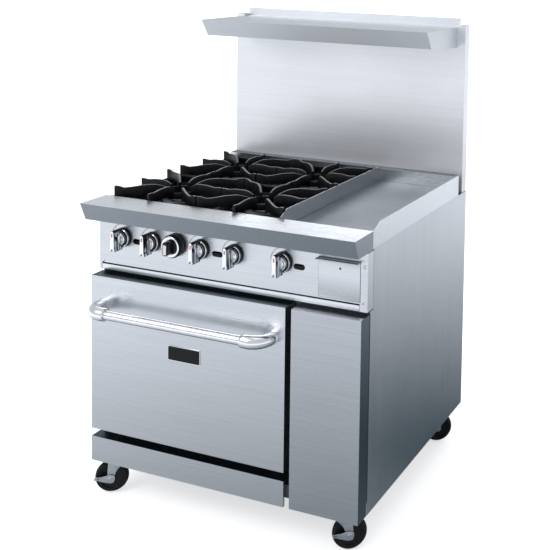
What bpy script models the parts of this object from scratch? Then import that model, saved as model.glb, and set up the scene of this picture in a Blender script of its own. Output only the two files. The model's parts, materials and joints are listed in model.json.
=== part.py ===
"""Commercial gas range, 36 in wide: four open burners, a 12 in griddle, one oven, a riser with a high
shelf, on four swivel casters. Metres, +Z up. The front faces -Y. The origin is on the floor, under the
middle of the bounding box."""

import math

import bmesh
import bpy
from mathutils import Matrix, Vector

# Driving dimensions. A depth is measured from the front edge of the top rail towards the back.
WIDTH = 0.9144
DEPTH = 0.812
HANDLE_REACH = 0.0275  # how far the oven handle stands in front of the top rail
RAIL_TOP = 0.914
RAIL_BOTTOM = 0.860
RAIL_SETBACK = 0.022
RAIL_DEPTH = 0.1065
SIDE_TOP = 0.8618
BODY_BOTTOM = 0.104
BODY_FRONT = 0.098
SHELF_TOP = 1.432
SHELF_FRONT = 0.522
SHELF_HALF = 0.424
UPSTAND_TOP = 1.461
RISER_FRONT = 0.7745
RISER_HALF = 0.4550
RISER_TOP = 1.439
SHEET = 0.0015
GAP = 0.0005

DOOR_LEFT, DOOR_RIGHT = -0.4565, 0.2195
DOOR_BOTTOM, DOOR_TOP = 0.205, 0.683
DOOR_FRONT, DOOR_BACK = 0.045, 0.0925
HINGE_DEPTH, HINGE_HEIGHT = 0.060, 0.217
HINGE_PLACES = (-0.400, 0.163)
COVER_LEFT = 0.2385
KICK_TOP = 0.180

HANDLE_HEIGHT = 0.594
TUBE_RADIUS = 0.014
ELBOW_RADIUS = 0.0175
ELBOW_BEND = 0.046
HANDLE_ENDS = (-0.3520, 0.1150)
HANDLE_DEPTH = ELBOW_RADIUS - HANDLE_REACH

PANEL_FRONT = 0.080
PANEL_BOTTOM, PANEL_TOP = 0.714, 0.8585
EAR_BOTTOM = 0.6925
DRAWER_LEFT, DRAWER_RIGHT = 0.3035, 0.4335
DRAWER_BOTTOM, DRAWER_TOP = 0.7185, 0.8315
KNOB_HEIGHT = 0.800
KNOB_PLACES = (-0.3680, -0.2610, -0.0895, 0.0265, 0.1890)
THERMOSTAT_PLACE = -0.180
PILOT_SLOTS = (-0.3145, -0.0315, 0.241)

BURNER_RIGHT = 0.1530
BURNER_BACK = 0.7335
SPLASH_BACK = 0.7385
GRATE_HALF = 0.151
GRATE_HALF_DEPTH = 0.1556
GRATE_BOTTOM, GRATE_TOP = 0.8905, 0.935
CELLS_ACROSS = (-0.3032, 0.0010)
CELLS_DEEP = (0.2643, 0.5763)
LEDGE_TOP = 0.8900
BURNER_RADIUS = 0.055
SPLASH_TOP = 0.931
GRIDDLE_TOP = 0.883
GRIDDLE_FRONT = 0.185

OVEN_LEFT, OVEN_RIGHT = -0.4185, 0.1815
OVEN_BACK = 0.678
OVEN_FLOOR, OVEN_TOP = 0.192, 0.6025
DECK_TOP = 0.246
RACK_HEIGHTS = (0.3635, 0.4735)

CASTER_ACROSS = 0.388
CASTER_DEEP = (0.085, 0.715)
CASTER_TRAIL = 0.020
CASTER_ANGLE = math.radians(60)
WHEEL_RADIUS = 0.049
WHEEL_WIDTH = 0.032
AXLE_RADIUS = 0.005
LEG_INNER, LEG_OUTER = 0.0185, 0.0210

HALF = WIDTH / 2
FRONT = HANDLE_REACH - (DEPTH + HANDLE_REACH) / 2

FINISHES = {
    "brushed_steel": ((0.62, 0.64, 0.66), 1.0, 0.34),
    "dark_steel": ((0.16, 0.18, 0.20), 0.9, 0.45),
    "chrome": ((0.85, 0.86, 0.88), 1.0, 0.10),
    "cast_iron": ((0.020, 0.021, 0.023), 0.3, 0.62),
    "burner_iron": ((0.13, 0.14, 0.15), 0.5, 0.60),
    "griddle_steel": ((0.50, 0.52, 0.53), 1.0, 0.38),
    "oven_enamel": ((0.05, 0.06, 0.08), 0.0, 0.30),
    "zinc": ((0.60, 0.62, 0.64), 1.0, 0.40),
    "brass": ((0.70, 0.52, 0.22), 1.0, 0.35),
    "black_plastic": ((0.015, 0.015, 0.017), 0.0, 0.40),
    "black_rubber": ((0.012, 0.012, 0.013), 0.0, 0.75),
}


def y_of(depth):
    """World Y of a depth behind the front edge of the top rail."""
    return FRONT + depth


def clear_scene():
    for old in list(bpy.data.objects):
        bpy.data.objects.remove(old, do_unlink=True)


def new_collection(name, hidden=False):
    made = bpy.data.collections.new(name)
    made.hide_render = hidden
    bpy.context.scene.collection.children.link(made)
    return made


clear_scene()
PARTS = new_collection("gas_range")
CUTTERS = new_collection("cutters", hidden=True)


def finish(name):
    """The named material, made on first use."""
    found = bpy.data.materials.get(name)
    if found:
        return found
    colour, metallic, roughness = FINISHES[name]
    made = bpy.data.materials.new(name)
    made.use_nodes = True
    shader = made.node_tree.nodes["Principled BSDF"]
    shader.inputs["Base Color"].default_value = (*colour, 1.0)
    shader.inputs["Metallic"].default_value = metallic
    shader.inputs["Roughness"].default_value = roughness
    made.diffuse_color = (*colour, 1.0)
    return made


def place(name, mesh, material=None):
    """An object for the mesh: a part when it has a material, else a helper for a Boolean."""
    made = bpy.data.objects.new(name, mesh)
    if material:
        mesh.materials.clear()
        mesh.materials.append(finish(material))
        PARTS.objects.link(made)
    else:
        CUTTERS.objects.link(made)
        made.hide_render = True
        made.display_type = "WIRE"
    return made


def from_bmesh(name, shape, material=None):
    mesh = bpy.data.meshes.new(name)
    bmesh.ops.recalc_face_normals(shape, faces=shape.faces)
    shape.to_mesh(mesh)
    shape.free()
    return place(name, mesh, material)


def box(name, low, high, material=None):
    """A box from its lowest to its highest corner. Y values are depths."""
    low = Vector((low[0], y_of(low[1]), low[2]))
    high = Vector((high[0], y_of(high[1]), high[2]))
    shape = bmesh.new()
    bmesh.ops.create_cube(shape, size=1.0)
    bmesh.ops.scale(shape, vec=high - low, verts=shape.verts)
    bmesh.ops.translate(shape, vec=(low + high) / 2, verts=shape.verts)
    return from_bmesh(name, shape, material)


def turn_to(axis):
    """The matrix that turns +Z to the named axis."""
    return {
        "X": Matrix.Rotation(math.pi / 2, 4, "Y"),
        "Y": Matrix.Rotation(-math.pi / 2, 4, "X"),
        "Z": Matrix.Identity(4),
    }[axis]


def cylinder(name, centre, radius, length, axis="Z", segments=24, material=None, end_radius=None):
    """A cylinder, or a cone frustum, about its centre. The centre's Y is a depth."""
    shape = bmesh.new()
    bmesh.ops.create_cone(
        shape,
        cap_ends=True,
        segments=segments,
        radius1=radius,
        radius2=radius if end_radius is None else end_radius,
        depth=length,
    )
    bmesh.ops.transform(shape, matrix=turn_to(axis), verts=shape.verts)
    bmesh.ops.translate(shape, vec=(centre[0], y_of(centre[1]), centre[2]), verts=shape.verts)
    return from_bmesh(name, shape, material)


def slab(name, outline, axis, start, end, material=None):
    """A flat outline pushed along an axis. For X the outline is (depth, z), for Y it is (x, z), and
    for Z it is (x, depth)."""
    spots = {
        "X": lambda a, b, along: (along, y_of(a), b),
        "Y": lambda a, b, along: (a, y_of(along), b),
        "Z": lambda a, b, along: (a, y_of(b), along),
    }[axis]
    shape = bmesh.new()
    near = [shape.verts.new(spots(a, b, start)) for a, b in outline]
    face = shape.faces.new(near)
    pushed = bmesh.ops.extrude_face_region(shape, geom=[face])
    moved = [item for item in pushed["geom"] if isinstance(item, bmesh.types.BMVert)]
    travel = Vector(spots(0, 0, end)) - Vector(spots(0, 0, start))
    bmesh.ops.translate(shape, vec=travel, verts=moved)
    bmesh.ops.triangulate(shape, faces=[f for f in shape.faces if len(f.verts) > 4])
    return from_bmesh(name, shape, material)


def folded_sheet(name, line, start, end, thickness, material=None):
    """Sheet metal folded along X: an open (depth, z) line drawn out in X, thickened by Solidify."""
    shape = bmesh.new()
    corners = [shape.verts.new((start, y_of(d), z)) for d, z in line]
    edges = [shape.edges.new(pair) for pair in zip(corners, corners[1:])]
    drawn = bmesh.ops.extrude_edge_only(shape, edges=edges)
    moved = [item for item in drawn["geom"] if isinstance(item, bmesh.types.BMVert)]
    bmesh.ops.translate(shape, vec=(end - start, 0, 0), verts=moved)
    mesh = bpy.data.meshes.new(name)
    shape.to_mesh(mesh)
    shape.free()
    made = place(name, mesh, material)
    thicken = made.modifiers.new("thicken", "SOLIDIFY")
    thicken.thickness = thickness
    thicken.offset = 0.0
    thicken.use_even_offset = True
    return made


def turned(name, profile, steps=28, material=None):
    """A solid of revolution about Z at the world origin, from (radius, z) points, top to bottom."""
    mesh = bpy.data.meshes.new(name)
    points = [(radius, 0.0, z) for radius, z in profile]
    mesh.from_pydata(points, [(i, i + 1) for i in range(len(points) - 1)], [])
    made = place(name, mesh, material)
    screw = made.modifiers.new("turn", "SCREW")
    screw.steps = steps
    screw.render_steps = steps
    screw.use_merge_vertices = True
    screw.merge_threshold = 0.00001
    return made


def pipe(name, points, radius, sides=2, material=None):
    """A round bar through the points, whose Y values are depths, made a closed mesh."""
    curve = bpy.data.curves.new(name, "CURVE")
    curve.dimensions = "3D"
    curve.bevel_depth = radius
    curve.bevel_resolution = sides
    curve.use_fill_caps = True
    spline = curve.splines.new("POLY")
    spline.points.add(len(points) - 1)
    for spot, (x, depth, z) in zip(spline.points, points):
        spot.co = (x, y_of(depth), z, 1.0)
    drawn = bpy.data.objects.new(name + "_curve", curve)
    bpy.context.scene.collection.objects.link(drawn)
    return solid_from(drawn, name, material)


def solid_from(drawn, name, material=None):
    """The evaluated mesh of an object as a new object. The drawn one is removed."""
    bpy.context.view_layer.update()
    graph = bpy.context.evaluated_depsgraph_get()
    mesh = bpy.data.meshes.new_from_object(drawn.evaluated_get(graph))
    mesh.name = name
    where = drawn.matrix_world.copy()
    bpy.data.objects.remove(drawn, do_unlink=True)
    shape = bmesh.new()
    shape.from_mesh(mesh)
    bmesh.ops.remove_doubles(shape, verts=shape.verts, dist=0.000005)
    shape.to_mesh(mesh)
    shape.free()
    made = place(name, mesh, material)
    made.matrix_world = where
    return made


def combine(target, tool, operation):
    """Joins the tool to the target, or cuts it from it."""
    change = target.modifiers.new(tool.name, "BOOLEAN")
    change.operation = operation
    change.object = tool
    change.solver = "EXACT"
    return target


def join(target, *tools):
    for tool in tools:
        combine(target, tool, "UNION")
    return target


def cut(target, *tools):
    for tool in tools:
        combine(target, tool, "DIFFERENCE")
    return target


def baked(thing, name, material):
    """The object with its modifiers applied, as a part on its own, so that its mesh can be shared."""
    return solid_from(thing, name, material)


def copy_of(source, name):
    """Another object with the same mesh."""
    made = bpy.data.objects.new(name, source.data)
    PARTS.objects.link(made)
    return made


def origin_to(part, point):
    """Moves a part's origin to a point on its joint axis. The part itself stays where it is."""
    spot = Vector((point[0], y_of(point[1]), point[2]))
    part.data.transform(Matrix.Translation(-spot))
    part.location = part.location + spot
    return part


def smooth(part, angle=35):
    part.data.shade_smooth()
    part.data.set_sharp_from_angle(angle=math.radians(angle))
    return part


# --- the frame and the casing ---------------------------------------------------------------------


def base_frame():
    """A folded tray with a large opening, and a pad under each corner for a caster."""
    frame = box("base_tray", (-0.448, 0.055, 0.128), (0.448, 0.806, 0.166))
    cut(
        frame,
        box("tray_hollow", (-0.445, 0.058, 0.131), (0.445, 0.803, 0.180)),
        box("tray_opening", (-0.330, 0.190, 0.100), (0.330, 0.660, 0.180)),
    )
    for side in (-1, 1):
        for depth in CASTER_DEEP:
            x = side * CASTER_ACROSS
            low = (x - 0.036, depth - 0.029, 0.1246)
            high = (x + 0.036, depth + 0.036, 0.1295)
            join(frame, box("caster_pad", low, high))
    return baked(frame, "base_frame", "zinc")


def side_panels():
    """The stainless sides. Each steps back at the top, where the control panel's return covers it."""
    outline = [
        (BODY_FRONT, BODY_BOTTOM),
        (DEPTH, BODY_BOTTOM),
        (DEPTH, SIDE_TOP),
        (0.115, SIDE_TOP),
        (0.115, 0.690),
        (BODY_FRONT, 0.690),
    ]
    slab("left_side_panel", outline, "X", -HALF, -HALF + SHEET, "brushed_steel")
    slab("right_side_panel", outline, "X", HALF - SHEET, HALF, "brushed_steel")


def back_panel():
    panel = box("back_sheet", (-0.455, 0.809, 0.106), (0.455, 0.8105, 0.8615))
    cut(panel, cylinder("gas_inlet_hole", (0.270, 0.81, 0.790), 0.022, 0.05, "Y"))
    return baked(panel, "back_panel", "brushed_steel")


def front_frame():
    """The plate around the oven mouth, behind the door, the cover and the kick plate."""
    frame = box("mouth_plate", (-0.455, 0.0975, 0.170), (0.455, 0.1005, 0.6915))
    cut(frame, box("mouth", (-0.4165, 0.09, 0.2465), (0.1795, 0.11, 0.601)))
    return baked(frame, "front_frame", "dark_steel")


def right_cover():
    """The fixed cover beside the oven door: front, top, outer side and a short inner return."""
    right, top, back = HALF - 0.0007, 0.682, 0.0955
    cover = box("cover_block", (COVER_LEFT, DOOR_FRONT, BODY_BOTTOM), (right, back, top))
    hollow_low = (COVER_LEFT + SHEET, DOOR_FRONT + SHEET, 0.09)
    cut(
        cover,
        box("cover_hollow", hollow_low, (right - SHEET, 0.11, top - SHEET)),
        box("cover_return", (0.23, DOOR_FRONT + 0.008, 0.09), (0.245, 0.11, top - SHEET)),
    )
    return baked(cover, "right_cover", "brushed_steel")


def kick_plate():
    """The fixed strip under the oven door, open at the back and below, clear of the casters."""
    block = box("kick_block", (DOOR_LEFT, DOOR_FRONT, BODY_BOTTOM), (DOOR_RIGHT, 0.0955, KICK_TOP))
    hollow_low = (DOOR_LEFT + SHEET, DOOR_FRONT + SHEET, 0.09)
    cut(
        block,
        box("kick_hollow", hollow_low, (DOOR_RIGHT - SHEET, 0.11, KICK_TOP - SHEET)),
        box("kick_return", (0.21, DOOR_FRONT + 0.008, 0.09), (0.23, 0.11, KICK_TOP - SHEET)),
    )
    return baked(block, "kick_plate", "brushed_steel")


def front_rail():
    """The deep top rail, whose front face leans in towards its foot, hollow and open underneath."""
    outer = [
        (0.0, RAIL_TOP),
        (RAIL_DEPTH, RAIL_TOP),
        (RAIL_DEPTH, RAIL_BOTTOM),
        (RAIL_SETBACK, RAIL_BOTTOM),
    ]
    wall = 0.002
    inner = [
        (0.0032, RAIL_TOP - wall),
        (RAIL_DEPTH - wall, RAIL_TOP - wall),
        (RAIL_DEPTH - wall, RAIL_BOTTOM - 0.01),
        (0.083, RAIL_BOTTOM - 0.01),
        (0.083, RAIL_BOTTOM + wall),
        (RAIL_SETBACK + 0.0015, RAIL_BOTTOM + wall),
    ]
    rail = slab("rail_block", outer, "X", -HALF, HALF)
    cut(rail, slab("rail_hollow", inner, "X", -HALF + wall, HALF - wall))
    return baked(rail, "front_rail", "brushed_steel")


def control_panel():
    """The panel sheet with its ears and side returns, and the holes for stems, pilots and the drawer."""
    edge = HALF - 0.0007
    ear_left, ear_right = -0.4475, 0.4325
    outline = [
        (-edge, EAR_BOTTOM),
        (ear_left, EAR_BOTTOM),
        (ear_left, PANEL_BOTTOM),
        (ear_right, PANEL_BOTTOM),
        (ear_right, EAR_BOTTOM),
        (edge, EAR_BOTTOM),
        (edge, PANEL_TOP),
        (-edge, PANEL_TOP),
    ]
    panel = slab("panel_sheet", outline, "Y", PANEL_FRONT, PANEL_FRONT + SHEET)
    for start, end in ((-edge, -edge + SHEET), (edge - SHEET, edge)):
        low = (start, PANEL_FRONT + 0.0002, EAR_BOTTOM + 0.0002)
        join(panel, box("panel_return", low, (end, 0.1145, PANEL_TOP - 0.0002)))
    around = 0.001
    cut(
        panel,
        box(
            "drawer_opening",
            (DRAWER_LEFT - around, 0.07, DRAWER_BOTTOM - around),
            (DRAWER_RIGHT + around, 0.09, DRAWER_TOP + around),
        ),
    )
    for x in (*KNOB_PLACES, THERMOSTAT_PLACE):
        cut(panel, cylinder("stem_hole", (x, PANEL_FRONT, KNOB_HEIGHT), 0.008, 0.03, "Y", 16))
    for x in PILOT_SLOTS:
        low = (x - 0.010, 0.07, KNOB_HEIGHT - 0.0165)
        cut(panel, box("slot_middle", low, (x + 0.010, 0.09, KNOB_HEIGHT + 0.0005)))
        for end in (-0.010, 0.010):
            centre = (x + end, PANEL_FRONT, KNOB_HEIGHT - 0.008)
            cut(panel, cylinder("slot_end", centre, 0.0085, 0.03, "Y", 16))
    return baked(panel, "control_panel", "brushed_steel")


# --- the cooking top ------------------------------------------------------------------------------


def cooktop_frame():
    """The frame whose ledges carry the four grates, with an opening round each burner."""
    frame = box("ledge_block", (-0.4552, 0.1072, 0.8622), (BURNER_RIGHT, BURNER_BACK, LEDGE_TOP))
    high = (BURNER_RIGHT - 0.002, BURNER_BACK - 0.002, 0.886)
    cut(frame, box("ledge_hollow", (-0.4532, 0.1092, 0.85), high))
    for x in CELLS_ACROSS:
        for depth in CELLS_DEEP:
            low = (x - 0.132, depth - 0.136, 0.85)
            cut(frame, box("burner_opening", low, (x + 0.132, depth + 0.136, 0.92)))
    return baked(frame, "cooktop_frame", "oven_enamel")


def left_top_trim():
    high = (-HALF + SHEET, RISER_FRONT - 0.0005, 0.9045)
    return box("left_top_trim", (-HALF, 0.1070, 0.8622), high, "brushed_steel")


def rear_trim():
    """The folded strip along the foot of the riser."""
    line = [(0.7400, 0.8622), (0.7400, 0.9245), (RISER_FRONT - 0.0020, 0.9245)]
    made = folded_sheet("rear_trim_fold", line, -0.4550, 0.4400, SHEET)
    return baked(made, "rear_trim", "brushed_steel")


def splash_guard():
    """Left, back and right walls round the griddle. The side walls ramp down to the rail in front."""
    ramp = [
        (RAIL_DEPTH + GAP, 0.8622),
        (SPLASH_BACK, 0.8622),
        (SPLASH_BACK, SPLASH_TOP),
        (0.150, SPLASH_TOP),
        (0.118, RAIL_TOP + 0.0005),
        (RAIL_DEPTH + GAP, RAIL_TOP + 0.0005),
    ]
    guard = slab("splash_left", ramp, "X", 0.1540, 0.1565)
    low = (0.1545, SPLASH_BACK - 0.0025, 0.8624)
    join(
        guard,
        box("splash_back", low, (HALF - 0.0005, SPLASH_BACK - 0.0002, 0.9260)),
        slab("splash_right", ramp, "X", HALF - 0.0025, HALF),
    )
    return baked(guard, "griddle_splash_guard", "brushed_steel")


def griddle_plate():
    high = (0.4542, SPLASH_BACK - 0.0030, GRIDDLE_TOP)
    plate = box("griddle_plate", (0.1570, GRIDDLE_FRONT, 0.864), high, "griddle_steel")
    soften = plate.modifiers.new("edges", "BEVEL")
    soften.width = 0.002
    soften.segments = 2
    return plate


def grease_trough():
    """The channel in front of the griddle plate, with a chute down into the drawer."""
    trough = box("trough_block", (0.1572, 0.1078, 0.8440), (0.4540, 0.1840, 0.9050))
    chute_place = (0.370, 0.146, 0.822)
    join(trough, cylinder("chute_outside", chute_place, 0.020, 0.046, segments=20))
    cut(
        trough,
        box("trough_hollow", (0.1587, 0.1093, 0.8455), (0.4525, 0.1825, 0.95)),
        box("trough_back_lip", (0.15, 0.1820, 0.8800), (0.46, 0.20, 0.95)),
        cylinder("chute_bore", (0.370, 0.146, 0.82), 0.0185, 0.10, segments=20),
    )
    return baked(trough, "grease_trough", "brushed_steel")


def blade(name, path, half_thickness, bottom, tops):
    """A grate finger: an upright blade along a plan path, with its own top height at each point."""
    shape = bmesh.new()
    rings = []
    for i, (x, y) in enumerate(path):
        before, after = Vector(path[max(i - 1, 0)]), Vector(path[min(i + 1, len(path) - 1)])
        along = (after - before).normalized()
        side = Vector((-along.y, along.x)) * half_thickness
        left, right = Vector((x, y)) + side, Vector((x, y)) - side
        rings.append([shape.verts.new((*spot, z)) for spot in (left, right) for z in (bottom, tops[i])])
    for near, far in zip(rings, rings[1:]):
        for a, b in ((0, 1), (1, 3), (3, 2), (2, 0)):
            shape.faces.new((near[a], near[b], far[b], far[a]))
    shape.faces.new((rings[0][0], rings[0][2], rings[0][3], rings[0][1]))
    shape.faces.new((rings[-1][0], rings[-1][1], rings[-1][3], rings[-1][2]))
    return from_bmesh(name, shape)


def corner_path(across, deep):
    """The plan path of a corner finger: inwards from the side edge, then round towards the centre."""
    start = Vector((GRATE_HALF - 0.0010, 0.1325))
    turn = Vector((0.092, 0.1210))
    tip = Vector((0.030, 0.032))
    points = []
    for step in range(7):
        t = step / 6
        spot = start * (1 - t) ** 2 + turn * 2 * t * (1 - t) + tip * t**2
        points.append((spot.x * across, spot.y * deep))
    return points


def grate_mesh():
    """One cast grate about its own centre: eight fingers, a tie ring and a low rim."""
    across, deep = GRATE_HALF - 0.004, GRATE_HALF_DEPTH
    bar = 0.012
    rim = box("rim", (-across, -FRONT - deep, GRATE_BOTTOM), (across, -FRONT + deep, 0.9030))
    inside_low = (-across + bar, -FRONT - deep + bar, 0.88)
    cut(rim, box("rim_middle", inside_low, (across - bar, -FRONT + deep - bar, 0.92)))
    half = 0.0046
    crown = [GRATE_TOP + rise for rise in (-0.002, -0.005, -0.004, 0.0, 0.002, -0.001, -0.012)]
    for across in (-1, 1):
        for deep in (-1, 1):
            join(rim, blade("corner_finger", corner_path(across, deep), half, GRATE_BOTTOM, crown))
        sideways = [(across * reach, 0.0) for reach in (GRATE_HALF - 0.0002, 0.046, 0.036)]
        join(rim, blade("side_finger", sideways, half, GRATE_BOTTOM + 0.0001, [0.933, 0.935, 0.928]))
        endways = [(0.0, across * reach) for reach in (GRATE_HALF_DEPTH - 0.003, 0.046, 0.036)]
        join(rim, blade("end_finger", endways, half, GRATE_BOTTOM + 0.0001, [0.929, 0.935, 0.928]))
    ring = cylinder("tie_ring", (0, -FRONT, 0.9075), 0.0515, 0.0335, segments=32)
    cut(ring, cylinder("tie_ring_bore", (0, -FRONT, 0.91), 0.0435, 0.1, segments=32))
    join(rim, ring)
    return baked(rim, "grate_front_left", "cast_iron")


def grates():
    first = grate_mesh()
    first.location = (CELLS_ACROSS[0], y_of(CELLS_DEEP[0]), 0)
    for name, x, depth in (
        ("grate_front_right", CELLS_ACROSS[1], CELLS_DEEP[0]),
        ("grate_rear_left", CELLS_ACROSS[0], CELLS_DEEP[1]),
        ("grate_rear_right", CELLS_ACROSS[1], CELLS_DEEP[1]),
    ):
        copy_of(first, name).location = (x, y_of(depth), 0)


def burner(name, x, depth, mouth_x):
    """A cast burner: the ring head, and its venturi running forward to the gas valve."""
    profile = [
        (0.0, 0.870),
        (0.022, 0.870),
        (0.022, 0.880),
        (0.026, 0.886),
        (0.051, 0.886),
        (BURNER_RADIUS, 0.880),
        (BURNER_RADIUS, 0.866),
        (0.040, 0.848),
        (0.0, 0.848),
    ]
    head = turned(name + "_head", profile)
    head.location = (x, y_of(depth), 0)
    neck = [
        (mouth_x, 0.153, 0.815),
        (mouth_x, depth - 0.052, 0.815),
        (x, depth, 0.830),
        (x, depth, 0.855),
    ]
    join(
        head,
        pipe(name + "_venturi", neck, 0.0125),
        cylinder(name + "_mouth", (mouth_x, 0.163, 0.815), 0.017, 0.020, "Y", 16),
    )
    return smooth(baked(head, name, "burner_iron"))


def burners():
    for side, x, first in (("left", CELLS_ACROSS[0], 0), ("right", CELLS_ACROSS[1], 2)):
        burner("burner_front_" + side, x, CELLS_DEEP[0], KNOB_PLACES[first])
        burner("burner_rear_" + side, x, CELLS_DEEP[1], KNOB_PLACES[first + 1])


def griddle_burner():
    x = KNOB_PLACES[4]
    line = [
        (x, 0.153, 0.815),
        (x, 0.205, 0.835),
        (0.215, 0.240, 0.835),
        (0.215, 0.640, 0.835),
        (0.395, 0.640, 0.835),
        (0.395, 0.240, 0.835),
    ]
    return smooth(pipe("griddle_burner", line, 0.0125, 2, "dark_steel"))


def pilot_tube():
    """The bright tube that lights the front right burner."""
    line = [(0.118, 0.150, 0.830), (0.118, 0.150, 0.866)]
    for step in range(1, 7):
        angle = math.pi * step / 8
        over = 1 - math.cos(angle)
        line.append((0.118 - 0.016 * over, 0.150 + 0.010 * over, 0.866 + 0.016 * math.sin(angle)))
    return smooth(pipe("pilot_tube", line, 0.0035, 2, "chrome"))


def gas_train():
    """The manifold, with a valve, a stem and an orifice at each knob, and the feed to the rear."""
    height = 0.790
    manifold = cylinder("manifold_pipe", (-0.080, 0.125, height), 0.0120, 0.700, "X")
    join(manifold, cylinder("feed_pipe", (0.270, 0.46325, height), 0.0125, 0.6965, "Y"))
    for x in KNOB_PLACES:
        low, high = (x - 0.011, 0.0930, 0.7750), (x + 0.011, 0.1390, 0.8260)
        join(
            manifold,
            box("valve_body", low, high),
            cylinder("valve_stem", (x, 0.0800, KNOB_HEIGHT), 0.004, 0.028, "Y", 12),
            cylinder("orifice", (x, 0.1430, 0.815), 0.005, 0.014, "Y", 12),
        )
    baked(manifold, "gas_manifold", "brass")
    x = THERMOSTAT_PLACE
    low = (x - 0.022, 0.0860, KNOB_HEIGHT - 0.018)
    control = box("control_block", low, (x + 0.022, 0.1115, KNOB_HEIGHT + 0.026))
    join(control, cylinder("control_stem", (x, 0.0780, KNOB_HEIGHT), 0.004, 0.024, "Y", 12))
    baked(control, "oven_thermostat", "zinc")


# --- riser and shelf ------------------------------------------------------------------------------


def riser():
    """The stainless back riser: a tall hollow box, open below for the flue, with vents behind."""
    block = box("riser_block", (-RISER_HALF, RISER_FRONT, 0.8625), (RISER_HALF, DEPTH, RISER_TOP))
    back = DEPTH - 0.002
    inside = RISER_HALF - SHEET
    step = RISER_HALF - 0.013
    seat = SHELF_HALF + 0.0005
    roof = SHELF_TOP - 0.0025
    cut(
        block,
        box("hollow", (-inside, RISER_FRONT + SHEET, 0.85), (inside, back - SHEET, roof - 0.002)),
        box("back_step", (-step, back, 0.85), (step, 0.83, 1.47)),
        box("shelf_seat", (-seat, 0.74, roof), (seat, 0.83, 1.47)),
    )
    for row in range(3):
        for column in range(4):
            x, z = -0.330 + column * 0.220, 1.285 + row * 0.035
            cut(block, box("vent", (x - 0.080, 0.80, z), (x + 0.080, 0.82, z + 0.012)))
    return baked(block, "riser", "brushed_steel")


def high_shelf():
    """The shelf: a folded sheet with a leaning front lip and a rear upstand, and two end gussets."""
    level = SHELF_TOP - SHEET / 2
    lip_foot = (SHELF_FRONT + 0.036, SHELF_TOP - 0.056)
    line = [lip_foot, (SHELF_FRONT, level), (0.8055, level), (0.8055, UPSTAND_TOP)]
    shelf = folded_sheet("shelf_fold", line, -SHELF_HALF, SHELF_HALF, SHEET)
    rear = RISER_FRONT - 0.0007
    end = [(SHELF_FRONT + 0.0015, level), lip_foot, (rear, SHELF_TOP - 0.070), (rear, level)]
    for side in (-1, 1):
        inner, outer = side * (SHELF_HALF - 0.0020), side * (SHELF_HALF - 0.0002)
        join(shelf, slab("gusset", end, "X", inner, outer))
    return baked(shelf, "high_shelf", "brushed_steel")


# --- the oven -------------------------------------------------------------------------------------


def oven_liner():
    """The oven box, open in front, with ledges for the deck and the racks and a flue slot behind."""
    wall = 0.002
    low = (OVEN_LEFT - wall, 0.1015, OVEN_FLOOR - wall)
    liner = box("liner_block", low, (OVEN_RIGHT + wall, OVEN_BACK + wall, OVEN_TOP + wall))
    cut(
        liner,
        box("liner_hollow", (OVEN_LEFT, 0.09, OVEN_FLOOR), (OVEN_RIGHT, OVEN_BACK, OVEN_TOP)),
        box("flue_slot", (-0.300, OVEN_BACK - 0.01, 0.560), (0.060, OVEN_BACK + 0.01, 0.590)),
    )
    for height in (DECK_TOP - 0.0028, *(z - GAP for z in RACK_HEIGHTS)):
        for start in (OVEN_LEFT - 0.001, OVEN_RIGHT - 0.010):
            join(liner, box("ledge", (start, 0.125, height - 0.003), (start + 0.011, 0.665, height)))
    return baked(liner, "oven_liner", "oven_enamel")


def oven_deck():
    low = (OVEN_LEFT + 0.001, 0.1030, DECK_TOP - 0.0022)
    deck = box("deck_sheet", low, (OVEN_RIGHT - 0.001, 0.676, DECK_TOP))
    for x in (-0.385, 0.130):
        for k in range(4):
            low = (x, 0.170 + k * 0.120, 0.23)
            cut(deck, box("heat_slot", low, (x + 0.018, 0.250 + k * 0.120, 0.26)))
    return baked(deck, "oven_deck", "oven_enamel")


def oven_racks():
    for name, z in zip(("oven_rack_lower", "oven_rack_upper"), RACK_HEIGHTS):
        left, right, front, back = -0.4150, 0.1780, 0.130, 0.655
        rack = box("rack_front_bar", (left, front, z), (right, front + 0.006, z + 0.005))
        for depth in (0.390, back - 0.006):
            join(rack, box("rack_cross_bar", (left, depth, z), (right, depth + 0.006, z + 0.005)))
        for k in range(13):
            x = left + 0.0005 + k * (right - left - 0.006) / 12
            low, high = (x, front + 0.0005, z + 0.002), (x + 0.005, back - 0.0005, z + 0.0075)
            join(rack, box("rack_wire", low, high))
        baked(rack, name, "chrome")


def oven_burner():
    line = [
        (-0.250, 0.150, 0.2150),
        (-0.250, 0.600, 0.2150),
        (0.010, 0.600, 0.2150),
        (0.010, 0.150, 0.2150),
    ]
    return smooth(pipe("oven_burner", line, 0.0145, 2, "dark_steel"))


# --- the oven door --------------------------------------------------------------------------------


def door_shell():
    """The outer skin of the door with its edges, and the bearing blocks for the hinge pins."""
    shell = box("door_block", (DOOR_LEFT, DOOR_FRONT, DOOR_BOTTOM), (DOOR_RIGHT, DOOR_BACK, DOOR_TOP))
    inside_low = (DOOR_LEFT + SHEET, DOOR_FRONT + SHEET, DOOR_BOTTOM + SHEET)
    cut(shell, box("door_hollow", inside_low, (DOOR_RIGHT - SHEET, 0.11, DOOR_TOP - SHEET)))
    for x in HINGE_PLACES:
        cut(shell, box("hinge_gap", (x - 0.014, 0.0480, 0.19), (x + 0.014, 0.11, DOOR_BOTTOM + 0.01)))
        for start, end in ((x - 0.0145, x - 0.0037), (x + 0.0037, x + 0.0145)):
            join(shell, box("bearing", (start, 0.0460, 0.2060), (end, 0.0740, 0.2300)))
        cut(shell, cylinder("pin_bore", (x, HINGE_DEPTH, HINGE_HEIGHT), 0.0047, 0.04, "X", 20))
    shell = baked(shell, "door_shell", "brushed_steel")
    return origin_to(shell, (0, HINGE_DEPTH, HINGE_HEIGHT))


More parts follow.
